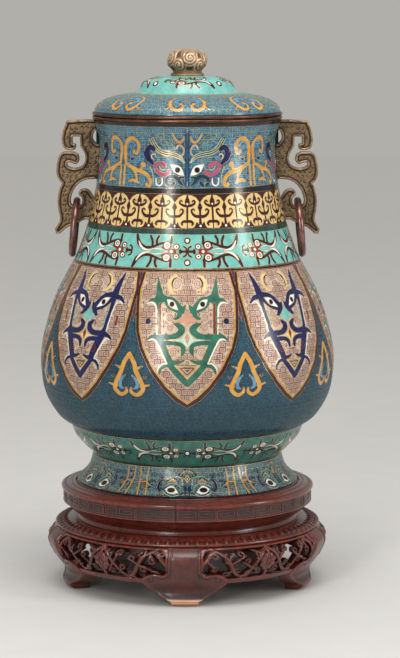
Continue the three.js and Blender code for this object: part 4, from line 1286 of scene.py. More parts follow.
def brim_scroll():
    half = stroke("yellow", [(0, 31), (-6.4, 29.6), (-12.6, 24.4), (-15, 15.4), (-12.4, 7.4),
        (-7, 5), (-3.6, 9.4), (-5.2, 14.4)], (1.4, 2.2, 2.4, 2.8, 3, 2.8, 2.2, 1.4))
    half += disc("yellow", (-5.6, 13), 1.8)
    half += strokes([
        ("yellow", [(-14.6, 18.6), (-18.4, 17.6)], (2.4, .8)),
        ("yellow", [(-13.6, 9.6), (-17.4, 6)], (2.4, .8)),
        ("yellow", [(-11.6, 25.4), (-15.4, 29.4)], (2, .7)),
        ("sky", [(-1.6, 24.6), (-7, 23.4), (-10.4, 17.6), (-8.4, 14.6)], (2.6, 4, 4, 2.4)),
        ("yellow", [(0, 19.6), (-3.4, 18.8)], (1.2, .7))])
    return both(half)


print("the brim is", round(BRIM_LENGTH, 1), "mm wide along its slope")

# %% Draw and wrap the cover
BRIM_RADIUS, DOME_RADIUS = 74, 38
STEP_LOW, STEP_HIGH = BRIM_LENGTH - 0.5, BRIM_LENGTH + 0.5
cover = Inlay(COVER)
for colour, low, high in (("blue", 0, STEP_LOW), ("yellow", STEP_LOW, STEP_HIGH),
                          ("turquoise", STEP_HIGH, COVER.length)):
    cover.band(colour, low, high)
for number in range(8):
    cover.put(brim_scroll(), number * 45, BRIM_RADIUS)
for number in range(4):
    placed = [(c, [(u - 22, v * 0.72) for u, v in p]) for c, p in creature()]
    cover.put(placed, number * 90, DOME_RADIUS, DOME_START + 14.5)
    cover.put(ringed_dot("aubergine"), number * 90 + 45, DOME_RADIUS + 2, DOME_START + 9.5)
under = [(15.5, 464.5), (26.1, 463.6), (36.5, 460.6), (40, 457.4), (43.9, 451), (47, 448.9),
         (60, 446.9), (72, 443.4), (80, 438.2), (82.6, 434.1), (84.6, 434.1)]
drawing = wrapped("enamelled_cover", cover, 0, COVER.length, [(15.5, 466.5)] + under, "cover")
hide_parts("lid_shell")
wire_piece("cover_border_wires", COVER, border_lines(*drawing), GILT_WIRE, "cover")
keys = key_scrolls(cover, "blue", 1, BRIM_LENGTH - 0.8, 4.0)
wire_piece("cover_key_scrolls", COVER, keys, KEY_WIRE, "cover", FINE_MM, FINE_PROUD)

# %% [markdown]
# The cast and carved parts take their colour from their relief. Each mesh keeps a number
# at every point, mostly how deep it lies, and the material is dark and dull where that is
# high: in bronze it is old dirt and patina, in wood it is wax and dust. On the legs near
# the floor, on the knob's lower part and on the stand's fret band the same number also
# holds painted shade. A texture node could guess the hollows from the mesh, but the
# carving knows them exactly.

# %% Materials that darken in their recesses and in painted shade
STAIN_MM = 26
DULLEST = 0.85


def worn_relief(name, high, low, crest, roughness, metallic, grain_mm, grain_stretch=1.0):
    material, tree, surface, where = new_material(name)
    recess_and_shade = add(tree, "Attribute", {"attribute_name": "recess_and_shade"}).outputs["Fac"]
    stretch = add(tree, "Mapping", {"Scale": (1, 1, grain_stretch)}, {"Vector": where})
    grain = add(tree, "TexNoise", {"Scale": per_metre(grain_mm), "Detail": 5.0,
                                   "Roughness": 0.6}, {"Vector": stretch.outputs[0]})
    spread = add(tree, "TexNoise", {"Scale": per_metre(STAIN_MM), "Detail": 2.0},
                 {"Vector": where})
    ground = blend_of(tree, stepped(tree, grain.outputs["Fac"], 0.35, 0.68),
                      from_hex(high), from_hex(crest))
    shade = blend_of(tree, stepped(tree, spread.outputs["Fac"], 0.5, 0.72, 0.0, 0.45),
                     ground, from_hex(low))
    tree.links.new(blend_of(tree, recess_and_shade, shade, from_hex(low)), surface.inputs["Base Color"])
    tree.links.new(stepped(tree, recess_and_shade, 0.0, 1.0, roughness, min(DULLEST, roughness + 0.3)),
                   surface.inputs["Roughness"])
    surface.inputs["Metallic"].default_value = metallic
    bump = add(tree, "Bump", {"Strength": 0.25, "Distance": 0.0004},
               {"Height": grain.outputs["Fac"]})
    tree.links.new(bump.outputs["Normal"], surface.inputs["Normal"])
    return material


# Cast bronze, chased, gilt and long handled: brownish gold with dark hollows.
GILT_BRONZE = worn_relief("worn_gilt_bronze", "#7d664e", "#241a12", "#a98e6c", 0.4, 0.7, 5)
# The same, gilt more thickly and less rubbed: a pale warm gold, drawn paler still as a
# painted highlight, since the knob sits in the top light.
FINIAL_GILT_LIT = worn_relief("chased_gilt_finial_painted_light", "#e2bc99", "#4f3a28", "#e2c4a2", 0.42, 0.65, 4)
# Turned bronze that has darkened: a brown line with one sharp highlight.
RIM_BRONZE = worn_relief("dark_rim_bronze", "#5f4334", "#2b1c15", "#8a6650", 0.28, 0.9, 8)
# Copper bar, rubbed by the handle that it hangs on: reddish and softly shiny.
RING_COPPER = worn_relief("ring_copper", "#76504a", "#3a2524", "#97706a", 0.28, 0.9, 9)
# Dense hardwood, carved and waxed: dark red, black in its hollows, with a soft gloss.
WOOD = worn_relief("waxed_red_hardwood", "#571f15", "#100504", "#742e20", 0.25, 0.0, 4.5, 0.35)
# The same wood worn bare at a foot: pale and dull, with open grain. Only the front leg has
# it, so its paleness is partly a painted highlight.
LIT_PAD_WOOD = worn_relief("worn_pad_hardwood_painted_highlight", "#c08a6c", "#4a2016", "#dcae8e", 0.5, 0.0, 2.2, 6)
WAX, WAX_ROUGHNESS = 0.35, 0.22
for material in (WOOD, LIT_PAD_WOOD):
    shader = next(n for n in material.node_tree.nodes if n.type == "BSDF_PRINCIPLED")
    shader.inputs["Coat Weight"].default_value = WAX
    shader.inputs["Coat Roughness"].default_value = WAX_ROUGHNESS
print("waxed:", WOOD.name, LIT_PAD_WOOD.name)

# %% [markdown]
# A carved panel starts as a drawing of wood and openings. It is cut into small triangles,
# and each point's distance from the nearest edge gives the relief: a rounded arris, a
# raised border, a groove beside it and a lower field. Bevel and boolean modifiers could
# carve it too, but often fail on outlines this fine.

# %% Distances that carving follows
FAR = 99.0


def edge_distance(points, segments):
    nearest = np.full(len(points), FAR)
    for start, end in segments:
        along = end - start
        share = np.clip((points - start) @ along / (along @ along + 1e-9), 0, 1)
        gap = points - start - share[:, None] * along
        nearest = np.minimum(nearest, np.hypot(*gap.T))
    return nearest


def line_distance(points, lines):
    segments = [(np.array(a), np.array(b)) for line in lines for a, b in zip(line, line[1:])]
    return edge_distance(points, segments)


def step_between(values, low, high):
    share = np.clip((values - low) / (high - low), 0, 1)
    return share * share * (3 - 2 * share)


def groove(gap, half_width):
    return 1 - step_between(gap, 0, half_width)


print("a groove 1 mm wide, at its middle and edge:", groove(np.array([0, 0.5]), 0.5))

# %% Carved panel
PANEL_SHARP = math.radians(48)


def with_recess(piece, values):
    store = piece.data.attributes.new("recess_and_shade", "FLOAT", "POINT")
    store.data.foreach_set("value", values)


class Panel:
    """Triangles over what is solid in the drawing, their edges and edge distances."""

    def __init__(self, cells, spacing, free_edge=lambda middle: True):
        low = np.min([np.min(shape, axis=0) for _, shape in cells], axis=0)
        high = np.max([np.max(shape, axis=0) for _, shape in cells], axis=0)
        extra = []
        for row, z in enumerate(np.arange(low[1], high[1], spacing * 0.87)):
            shift = spacing / 2 * (row % 2)
            extra += [(x + shift, z) for x in np.arange(low[0], high[0], spacing)]
        spots, triangles = cut_up([shape for _, shape in cells], extra)
        solid = colours_at(cells, spots[triangles].mean(axis=1)) == "solid"
        triangles = triangles[solid]
        used, renumbered = np.unique(triangles, return_inverse=True)
        self.spots, self.triangles = spots[used], renumbered.reshape(-1, 3)
        sides = {}
        for triangle in self.triangles.tolist():
            for a, b in zip(triangle, (*triangle[1:], triangle[0])):
                sides[(a, b)] = sides.get((a, b), 0) + 1
        self.edges = [(a, b) for a, b in sides if (b, a) not in sides]
        segments = [(self.spots[a], self.spots[b]) for a, b in self.edges]
        self.depth = edge_distance(self.spots, [
            s for s in segments if free_edge((s[0] + s[1]) / 2)])

    def solid(self, name, front, back, recess_and_shade, materials, body, slot, turn=0, mirror=False,
              indices=None):
        """front and back are the panel's points in mm on its two faces."""
        count = len(self.spots)
        vertices = np.vstack([front, back]) * MM
        faces = self.triangles.tolist()
        faces += [[a + count, c + count, b + count] for a, b, c in self.triangles.tolist()]
        faces += [[a, a + count, b + count, b] for a, b in self.edges]
        if mirror:
            vertices = vertices * [-1, 1, 1]
            faces = [face[::-1] for face in faces]
        angle = math.radians(turn)
        x, y, z = vertices.T
        vertices = np.stack([x * math.cos(angle) - y * math.sin(angle),
                             x * math.sin(angle) + y * math.cos(angle), z], 1)
        piece = mesh_object(name, vertices, faces, materials)
        if indices is not None:
            piece.data.polygons.foreach_set("material_index", indices)
        with_recess(piece, np.concatenate([recess_and_shade, recess_and_shade]))
        piece.data.set_sharp_from_angle(angle=PANEL_SHARP)
        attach(piece, body)
        return piece


sample = Panel(fill("solid", [(0, 0), (4, 0), (4, 4), (0, 4)]), 1.0)
print("a square panel has", len(sample.triangles), "triangles on a face")

# %% [markdown]
# The handles are cast openwork plates: a curled crest, a hooked tongue, a long tail, and
# a small bridge that the ring hangs on. A raised line follows every edge, and the field
# inside it is chased with little commas. Their outline is the part's own, in hundredths
# of the handle's reach and height, so the casting and the solid can't drift apart.

# %% Outline of the handles
REACH, HEIGHT, IN_NECK, THROAT, ORIGIN = 41, 85.6, -14, 80, 340.9
HINGE_UP, RING_BAR, CLEARANCE = 11.9, 3.25, 1.3
BRIDGE_UP = 100 * (HINGE_UP - RING_BAR - CLEARANCE) / HEIGHT


def on_handle(points):
    return [(THROAT + x * REACH / 100, ORIGIN + z * HEIGHT / 100) for x, z in points]


outline = on_handle(
    [(IN_NECK, 0), (IN_NECK, 100), (28.5, 100), (72.7, 98.8)]
    + curve([(74.6, 95.3), (80.2, 88.8), (83.9, 79.4), (80.2, 71.3), (70.7, 68), (58, 67.8),
             (52.2, 70.3), (52.2, 74.1)], 5)
    + [(59.5, 75), (59.5, 82.2), (43.2, 82.2)]
    + curve([(42.4, 71.8), (33.7, 65.4), (31, 57.8), (37.6, 51.2), (54.9, 48.4), (69.8, 50.5),
             (71.2, 54.4), (62.4, 54.4), (52.7, 52.8), (44.9, 56.8), (46.8, 63.1)], 5)
    + [(56.6, 65.7)]
    + curve([(79.3, 65.7), (88.8, 62.4), (94.1, 53.7), (95.6, 44.4), (91.7, 36.9),
             (83.4, 32.2)], 5)
    + curve([(83.4, 32.2), (90, 25), (93.2, 15.2), (91.7, 3.5), (88.3, -5.8), (93.7, -11.9),
             (100, -16.6)], 5)[1:]
    + [(97.1, -21.3)]
    + curve([(88.8, -21.3), (72, -14.5), (54.1, -11.2), (34.1, -6.3)], 5)
    + [(4.9, -6.3)])
ring_opening = on_handle(
    curve([(IN_NECK + 2, 36.7), (17.1, 36.9), (34.1, 35.5), (49.3, 30.8), (59.5, 23.4),
           (64.6, 15.2), (63.9, BRIDGE_UP + 1.9)], 5)
    + [(59.5, BRIDGE_UP), (42.9, BRIDGE_UP)]
    + curve([(39, BRIDGE_UP + 2.8), (39.5, 17.1), (46.8, 20.3), (43.4, 25), (31.7, 26.4),
             (21.5, 23.8), (12.2, 16.4)], 5) + [(IN_NECK + 2, 16.4)])
throat_opening = on_handle(
    curve([(IN_NECK + 2, 90.4), (6.3, 89.3), (13.2, 85.3), (14.6, 80.1), (9.8, 76.4),
           (4.4, 74.1), (IN_NECK + 2, 72)], 5))
print("outline of", len(outline), "points")

# %% Relief of the handles
ARRIS, FIELD, LINE, COMMA = 0.9, 0.85, 0.5, 0.55    # mm that each is cut down
BORDER_ENDS = (1.4, 1.9)                # mm from the edge where the border steps down


def neck_at(height):
    return np.interp(height, VASE.points[:, 1], VASE.points[:, 0]) + 0.3


behind_neck = [(60, 320)] + [(neck_at(z), z) for z in np.arange(320, 431, 3.0)] + [(60, 430)]
cells = fill("solid", outline) + fill("open", ring_opening) + fill("open", throat_opening)
cells += fill("open", behind_neck)
handle = Panel(cells, 0.7, lambda m: m[0] > neck_at(m[1]) + 1)
gap = handle.depth
relief = ARRIS * groove(gap, 0.6) + FIELD * step_between(gap, *BORDER_ENDS)
relief += LINE * groove(abs(gap - 3.0), 0.35)
print("handle:", len(handle.triangles), "triangles on a face")

# %% Chased commas, and the handles themselves
HALF_PLATE = 5.5
COMMA_RADIUS, COMMA_WIDE, COMMA_STEP = 1.25, 4.6, 4.4
random.seed(11)
marks = []
for row in range(26):
    for column in range(10):
        x = 82 + column * COMMA_WIDE + COMMA_WIDE / 2 * (row % 2) + random.uniform(-.5, .5)
        z = 322 + row * COMMA_STEP + random.uniform(-.5, .5)
        turn = random.choice((0.3, 1.9, 3.4, 5.0))
        marks.append([(x + COMMA_RADIUS * math.cos(turn + a),
                       z + COMMA_RADIUS * math.sin(turn + a)) for a in (0, .9, 1.8, 2.7, 3.4)])
chased = groove(line_distance(handle.spots, marks), 0.55) * step_between(gap, 3.3, 4.0)
relief += COMMA * chased
recess_and_shade = np.clip(0.85 * step_between(gap, *BORDER_ENDS) * groove(abs(gap - 2.5), 1.2)
                 + 0.9 * chased + 0.3 * step_between(gap, 1.6, 2.6), 0, 1)
x, z = handle.spots.T
front = np.stack([x, -HALF_PLATE + relief, z], 1)
back = np.stack([x, HALF_PLATE - relief, z], 1)
for side, flip in (("right", False), ("left", True)):
    piece = handle.solid("cast_handle_" + side, front, back, recess_and_shade, [GILT_BRONZE], "vase",
                         "gilt_bronze", mirror=flip)
    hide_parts("handle_" + side)
print("handle faces:", len(piece.data.polygons))

# %% [markdown]
# The rings are plain round copper bars, bent and brazed. Rubbing has polished their outer
# side, and the bar is never quite even, so its thickness wanders by a tenth of a
# millimetre. A torus primitive would be too perfect, so the bar is swept by hand.

# %% Hanging rings
def grid_faces(rows, columns, closed_rows=False):
    faces = []
    for row in range(rows if closed_rows else rows - 1):
        for k in range(columns):
            a, b = row * columns, ((row + 1) % rows) * columns
            faces.append((a + k, a + (k + 1) % columns, b + (k + 1) % columns, b + k))
    return faces


RING_RADIUS, LEAN = 24.5, math.radians(5.3)
RING_STEPS, BAR_SIDES = 96, 24
for side, sign in (("left", -1), ("right", 1)):
    down = np.array([sign * math.sin(LEAN), 0, -math.cos(LEAN)])
    depth = np.array([0, 1.0, 0])       # towards the back
    outward = np.cross(depth, down)
    centre = np.array([sign * 100.8, 0, 352.8]) + down * RING_RADIUS
    vertices, values = [], []
    for turn in np.linspace(0, 2 * math.pi, RING_STEPS, endpoint=False):
        spoke = -math.cos(turn) * down + math.sin(turn) * depth
        for around in np.linspace(0, 2 * math.pi, BAR_SIDES, endpoint=False):
            bar = RING_BAR - 0.12 + 0.1 * math.sin(3 * turn + around) * math.sin(5 * turn)
            vertices.append((centre + spoke * (RING_RADIUS + bar * math.cos(around))
                             + outward * bar * math.sin(around)) * MM)
            values.append(0.35 * max(0, -math.cos(around)))
    piece = mesh_object("hanging_ring_" + side, vertices,
                        grid_faces(RING_STEPS, BAR_SIDES, True), [RING_COPPER])
    with_recess(piece, values)
    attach(piece, side + "_ring")
    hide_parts("ring_" + side)
print("ring faces:", len(piece.data.polygons))

# %% [markdown]
# The beads at the mouth and the cover's edge, and the collar that drops into the mouth, are
# turned on a lathe. So is everything here that is round: a profile is swept round the axis,
# and functions of radius, height and angle may push its points or shade them.

# %% Turned beads and collar
TURNED_SHARP = math.radians(40)


def turned(name, profile, columns, material, body, shade=lambda r, z, t: 0.2,
           push=lambda r, z, t: 0.0, lift=lambda r, z, t: 0.0):
    """A closed profile of (radius, height) in mm, swept round the axis."""
    vertices, values = [], []
    for radius, height in profile:
        for t in np.linspace(0, 2 * math.pi, columns, endpoint=False):
            reach = radius + push(radius, height, t)
            vertices.append(on_turn(reach, height + lift(radius, height, t), t))
            values.append(shade(radius, height, t))
    piece = mesh_object(name, vertices, grid_faces(len(profile), columns, True), [material])
    with_recess(piece, values)
    piece.data.set_sharp_from_angle(angle=TURNED_SHARP)
    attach(piece, body)
    return piece


def bead_profile(inner, low, outer=86.5, high=3):
    arc = [(outer - 1.5 + 1.5 * math.sin(t), low + 1.5 - 1.5 * math.cos(t))
           for t in np.linspace(0.15, math.pi - 0.15, 9)]
    return [(inner, low), *arc, (inner, low + high)]


piece = turned("mouth_bead", bead_profile(82.6, 427.5), 144, RIM_BRONZE, "vase")
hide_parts("mouth_rim")
piece = turned("cover_bead", bead_profile(79.2, 430.8), 144, RIM_BRONZE, "cover")
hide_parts("lid_rim")
COLLAR = [(76.9, 418.6), (77.4, 418.1), (78.4, 418.1), (78.9, 418.8), (78.9, 421.4),
          (78.6, 421.7), (78.9, 422), (78.9, 433.8), (76.9, 433.8)]
piece = turned("cover_collar", COLLAR, 144, RIM_BRONZE, "cover")
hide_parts("lid_flange")
print("collar faces:", len(piece.data.polygons))

# %% [markdown]
# The knob is cast as a bank of clouds: round lobes in two rings, each curling into a
# spiral, over a short neck. The curls are chased in afterwards, and the dirt in them is
# what makes the relief readable. It could be sculpted; here one function says how far each
# point of a turned shape stands out, and the same function tells where the dirt is.

# %% Clouds on the knob
FINIAL_BASE = 466.8
KNOB = [(3.4, FINIAL_BASE), (15.2, FINIAL_BASE), (15.2, FINIAL_BASE + 1.2)] + [
    tuple(p) for p in curve([(12.8, FINIAL_BASE + 2.6), (14.6, FINIAL_BASE + 6),
                             (16.9, FINIAL_BASE + 9), (17.4, FINIAL_BASE + 14.6),
                             (15.2, FINIAL_BASE + 20), (8.2, FINIAL_BASE + 23.2),
                             (1.0, FINIAL_BASE + 24)], 9)]
LOBES = [(k * 72 + 8, 16.4, 9.0) for k in range(5)]     # turn, height and radius of each
LOBES += [(k * 72 + 44, 9.6, 7.4) for k in range(5)]
LOBES += [(k * 120 + 20, 22, 6.2) for k in range(3)]
LOBE_SWELL, LOBE_SUNK, CURL_DEEP, CURL_PITCH = 2.1, 1.0, 0.75, 2.9


def cloud(radius, height, t):
    """How far the surface stands out, and how deep it lies in a curl, both in mm."""
    up = height - FINIAL_BASE
    swell, cut = 0.0, 0.0
    for number, (turn, middle, size) in enumerate(LOBES):
        away = (t - math.radians(turn) + math.pi) % (2 * math.pi) - math.pi
        u, v = away * max(radius, 6), up - middle
        gap = math.hypot(u, v)
        if gap < size:
            dome = math.sqrt(1 - (gap / size) ** 2) * LOBE_SWELL
            if dome > swell:
                swell = dome
                spin = math.atan2(v, u) * (1 if number % 2 else -1)
                wave = math.cos(2 * math.pi * gap / CURL_PITCH - spin)
                cut = max(0, wave) ** 2 * (CURL_DEEP if gap > 0.7 else 0)
    rise = min(1, max(0, (up - 3) / 4)) * (1 - 0.7 * max(0, (up - 20) / 4))
    return (swell - LOBE_SUNK - cut) * rise, (max(0, 1.1 - swell) * 0.8 + cut * 1.4) * rise


def knob_shade(radius, height, t):
    # low darkens the knob's lower part, below the top lobes: painted shade, partly patina.
    low = 0.5 * (1 - min(1, max(0, (height - FINIAL_BASE - 6) / 8)))
    return min(1, cloud(radius, height, t)[1] + low)


print("clouds:", len(LOBES))

# %% Cloud knob
profile = KNOB + [(1.0, FINIAL_BASE + 11.4), (3.4, FINIAL_BASE + 11.4)]
piece = turned("cloud_knob", profile, 150, FINIAL_GILT_LIT, "cover", knob_shade,
               lambda r, z, t: cloud(r, z, t)[0] if r > 3.5 else 0)
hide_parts("finial")
print("knob faces:", len(piece.data.polygons))

# %% [markdown]
# Rivets, the knob's fastening and the base plate have their final shape in the frame
# already. They keep their meshes and only get a metal.

# %% Small hidden metal
for name in ("base_plate", "finial_stud", "finial_washer", "finial_nut",
             "rivet_left_upper", "rivet_left_lower", "rivet_right_upper", "rivet_right_lower"):
    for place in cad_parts[name].material_slots:
        place.material = COPPER_LINING if name == "base_plate" else RIM_BRONZE
print("small metal dressed")

# %% [markdown]
# The stand is carved from a dense red hardwood and waxed. Its rim is five curved lengths
# joined end to end, with a key fret in low relief round the band. The fret is set on as
# thin bars rather than cut in, since bars need far fewer faces for the same shadow lines.

# %% Lengths of the rim
STAND_TURN = -1.2                       # degrees that the stand is turned from square
LEGS, LEG_TURN = 5, 72
RIM_JOINT = 68
RIM_SHARP = math.radians(35)
OGEE = bezier((102.5, 67.5), (108.7, 68.1), (108.4, 74.1), (114.9, 76.5), 10)
CROWN = [(114.9, 87.9), (115.4, 88.3), (116.2, 88.8), (116.4, 90), (116, 91.2), (114.6, 91.9),
         (113.4, 91.7), (112.4, 91.7), (111.2, 92.8), (109.8, 93.4), (108.4, 93.5),
         (107.4, 92.9), (106.6, 92.9), (105.6, 94.0), (104.4, 94.5), (103.4, 94.4)]
RIM = [tuple(p) for p in OGEE] + [(114.9, 77.4), (114.3, 77.9), (114.3, 86.9), (114.9, 87.4)]
RIM += CROWN + [(103.4, 87.0), (88, 87.0), (88, 67.5)]


def swept(name, profile, start, end, steps, body, shade, extra=()):
    """A closed profile swept between two angles, with flat ends. extra adds loose bars."""
    turns = np.radians(np.linspace(start, end, steps + 1))
    rows = len(profile)
    vertices, faces, values = [], [], []
    for t in turns:
        for radius, height in profile:
            vertices.append(on_turn(radius, height, t))
            values.append(shade(radius, height))
    for k in range(steps):
        for row in range(rows):
            a, b = k * rows, (k + 1) * rows
            onward = (row + 1) % rows
            faces.append((a + row, b + row, b + onward, a + onward))
    faces.append(tuple(range(rows)))
    faces.append(tuple(range(steps * rows, (steps + 1) * rows))[::-1])
    for t0, t1, low, high, inner, outer in extra:
        first = len(vertices)
        for t in np.radians([t0, t1]):
            for radius, height in ((inner, low), (outer, low + .15), (outer, high - .15),
                                   (inner, high)):
                vertices.append(on_turn(radius, height, t))
                values.append(0.0)
        faces += [tuple(first + i for i in quad) for quad in (
            (0, 4, 5, 1), (1, 5, 6, 2), (2, 6, 7, 3), (0, 1, 2, 3), (7, 6, 5, 4))]
    piece = mesh_object(name, vertices, faces, [WOOD])
    with_recess(piece, values)
    piece.data.set_sharp_from_angle(angle=RIM_SHARP)
    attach(piece, body)
    return piece


print("corners in the rim's section:", len(RIM))

# %% Key fret
FRET_LOW, FRET_TALL, FRET_THICK, FRET_UNIT = 78.7, 7.4, 0.85, 8.8
FRET_RADII = (114.2, 114.75)
FRET = [(0, 0, 1, 0), (.04, 0, .04, 1), (.04, 1, .92, 1), (.92, .3, .92, 1), (.2, .3, .92, .3),
        (.2, .3, .2, .68), (.2, .68, .72, .68)]


def fret_bars(start, end):
    """The key fret as thin raised bars: (angles, heights, radii)."""
    count = max(1, round((end - start) / FRET_UNIT))
    unit = (end - start) / count
    half = FRET_THICK / 2
    wide = math.degrees(half / 114.6)
    bars = []
    for number in range(count):
        left = start + number * unit
        flip = number % 2
        for u0, v0, u1, v1 in FRET:
            u0, u1 = (1 - u1, 1 - u0) if flip else (u0, u1)
            a, b = left + u0 * unit, left + u1 * unit
            c, d = FRET_LOW + v0 * FRET_TALL, FRET_LOW + v1 * FRET_TALL
            bars.append((a - (wide if a == b else 0), b + (wide if a == b else 0),
                         c - (half if c == d else 0), d + (half if c == d else 0),
                         *FRET_RADII))
    return bars


def rim_shade(radius, height):
    # in_band draws the fret's ground near black behind its bars: painted shade in the recessed
    # band under the crown, partly wax.
    in_band = 1.0 if 77.5 < height < 87.2 and radius > 110 else 0
    in_groove = 0.6 if (radius, height) in ((112.4, 91.7), (106.6, 92.9), (113.4, 91.7)) else 0
    return max(in_band, in_groove, 0.2 if height < 76 else 0)


JOINT_GAP = math.degrees(0.15 / 110)
for number in range(LEGS):
    start = RIM_JOINT + number * LEG_TURN + STAND_TURN + JOINT_GAP
    end = start + LEG_TURN - 2 * JOINT_GAP
    piece = swept(f"carved_rim_{number + 1}", RIM, start, end, 48, "stand", rim_shade,
                  fret_bars(start + 0.6, end - 0.6))
    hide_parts(f"tray_rim_{number + 1}")
print("rim faces:", len(piece.data.polygons))

# %% [markdown]
# Under the rim comes a drawn-in waist, then a moulding whose shoulder is a row of small
# petals with darts between them, about nine millimetres each. Both are turned like the
# beads. The petals are a wave on the moulding's shoulder, ten columns of points to each.

# %% Petals
PETALS = 84
PETAL_MIDDLE, PETAL_REACH, PETAL_NARROW = 115.5, 5.5, 1.15
PETAL_LIFT, PETAL_CUT = 1.2, 0.8


def petal_distance(radius, t):
    """From 0 in a petal's middle to 1 at its edge."""
    return math.hypot((radius - PETAL_MIDDLE) / PETAL_REACH,
                      math.sin(PETALS * t / 2) * PETAL_NARROW)


def petal_lift(radius, height, t):
    """Rounded tongues, with a groove round each and a dart between two."""
    if not (111.5 < radius < 120.7 and height > 57.2):
        return 0
    away = petal_distance(radius, t)
    return PETAL_LIFT * max(0, 1 - away ** 2) - PETAL_CUT * max(0, 1 - abs(away - 1) * 4)


def petal_shade(radius, height, t):
    if not (106 < radius < 121 and height > 57.2):
        return 0.1
    return max(0, 1 - abs(petal_distance(radius, t) - 0.85) * 2.6)


print("a petal is", round(2 * math.pi * PETAL_MIDDLE / PETALS, 1), "mm wide")

# %% Waist, moulding and board
cove = [tuple(p) for p in curve([(101.7, 61.4), (100.3, 64.3), (101.7, 67.2)], 6)]
piece = turned("drawn_in_waist", cove + [(91, 67.2), (91, 61.4)], 180, WOOD, "stand",
               lambda r, z, t: 0.1)
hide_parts("waist_ring")
MOULDING = [(91, 45.3), (107.7, 45.3), (107.7, 55.3), (121.5, 55.3), (122, 56), (122, 56.6),
            (121.4, 57.4), (120.6, 57.4), (119.8, 57.9), (118.6, 58.4), (116.8, 58.8),
            (114.8, 59.1), (113, 59.3), (111.6, 59.5), (110.4, 60.1), (109.2, 60.4),
            (107, 60.5), (104.7, 61.1), (91, 61.1)]
piece = turned("petal_moulding", MOULDING, PETALS * 10, WOOD, "stand", petal_shade,
               lift=petal_lift)
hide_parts("shoulder_ring")
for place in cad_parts["tray_board"].material_slots:
    place.material = WOOD
print("moulding faces:", len(piece.data.polygons))

# %% [markdown]
# Legs and aprons are sawn from one swelling section. The face of each is the part's own
# curve; the carving lies on it as relief. The leg has a plain square knee edged by two
# lines, a scrolled bracket on either side and a worn pad at the floor, which only the
# front leg shows pale: partly bare wood, partly a painted highlight. One leg is carved
# and set up five times, since a workshop would follow one template.

# %% Section of legs and aprons
FACE = np.array(curve([(112, 0), (117.5, 4.8), (114, 14), (123.75, 28.05), (130.5, 45),
                       (121.5, 55)], 8))


def face_at(height, back=0.0):
    return np.interp(height, FACE[:, 1], FACE[:, 0]) - back


def with_left(half):
    """A symmetric outline from its right half."""
    return [(-x, z) for x, z in half[::-1]] + half


def bent(spots, radius):
    """Panel points wrapped onto a radius that may differ from point to point."""
    x, z = spots.T
    return np.stack([x, -np.sqrt(np.maximum(radius ** 2 - x ** 2, 1)), z], 1)


print("widest radius of the stand:", FACE[:, 0].max(), "mm")

# %% Outline of a leg, and the lines carved on it
bracket = curve([(12.7, 4.8), (17.3, 6.8), (27.7, 12.55), (38.5, 21.5), (35.5, 27.4),
                 (29.3, 30.4), (18.6, 29.8)], 8)
half = [(12.1, 0), *[tuple(p) for p in bracket], (14.6, 33.4), (14.6, 55)]
leg = Panel(fill("solid", with_left(half)), 1.0, lambda m: 1 < m[1] < 54.6)
CURL_CENTRE, CURL_SIZE = (30.6, 25.2), 3.9
curl = [(CURL_CENTRE[0] + CURL_SIZE * (1 - s) * math.cos(6.5 * s + 2.2),
         CURL_CENTRE[1] + CURL_SIZE * (1 - s) * math.sin(6.5 * s + 2.2))
        for s in np.linspace(0, .85, 26)]
curls = [curl, [(-u, v) for u, v in curl]]
veins = [[(sign * 14.4, 33), (sign * 15.6, 27.6), (sign * 20, 25.6), (sign * 26, 28.2)]
         for sign in (1, -1)]
veins += [[(sign * 12.2, 55), (sign * 12.2, 35), (sign * 13.4, 27)] for sign in (1, -1)]
lines = groove(line_distance(leg.spots, curls + veins), 0.9)
print("leg:", len(leg.triangles), "triangles on a face")

# %% Relief of a leg, and the five legs
PAD_TOP = 6.9                           # mm above the floor
gap = leg.depth
x, z = leg.spots.T
pad = 1 - step_between(z, 6.2, 7.6)
plain = step_between(gap, 2.2, 2.9) * (1 - pad)
ridges = pad * (0.5 + 0.5 * np.cos(z * 2.9)) * 0.7
relief = (0.9 * groove(gap, 1.0) + 0.5 * plain + 0.8 * lines * (1 - pad) + ridges
          + 0.45 * groove(abs(gap - 3.6), 0.5) * (1 - pad))
# Its last term darkens each leg from the pad up to about 22 mm: painted shade near the floor.
recess_and_shade = np.clip(0.8 * lines + 0.35 * plain + 0.5 * groove(abs(gap - 2.6), 0.6) * (1 - pad)
                 + 0.5 * (1 - step_between(z, 5, 22)) * (1 - pad), 0, 1)
inner = np.interp(z, [0, 17, 39, 55], [99, 102, 108, 108])
front = bent(leg.spots, face_at(z) - relief)
back = bent(leg.spots, inner)
middles = z[leg.triangles].mean(axis=1)
on_pad = (middles < PAD_TOP).astype(int)
indices = list(on_pad) + list(on_pad) + [int(z[a] < PAD_TOP) for a, b in leg.edges]
# Only the front leg's pad is pale: partly bare worn wood, partly a painted highlight.
for number in range(LEGS):
    shoe = LIT_PAD_WOOD if number == 0 else WOOD
    piece = leg.solid(f"carved_leg_{number + 1}", front, back, recess_and_shade, [WOOD, shoe],
                      "stand", "hardwood", number * LEG_TURN + STAND_TURN, indices=indices)
    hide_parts(f"leg_{number + 1}")
print("leg faces:", len(piece.data.polygons))

# %% [markdown]
# Each apron is pierced: a vine with curling leaves and a flower in the middle fills a
# long window under a narrow frame. It is drawn as wood, then opening, then wood again, in
# the order in which the carver works, and then cut and carved as the legs are.

# %% Outline and window of an apron
APRON_BACK, APRON_THICK = 1.2, 7
HALF_SPAN = math.radians(LEG_TURN / 2)


def beside_leg(width, height):
    radius = face_at(height, APRON_BACK)
    return radius * math.sin(HALF_SPAN - math.asin(width / radius))


def window_half(height):
    return beside_leg(14.6, height) - 2.6


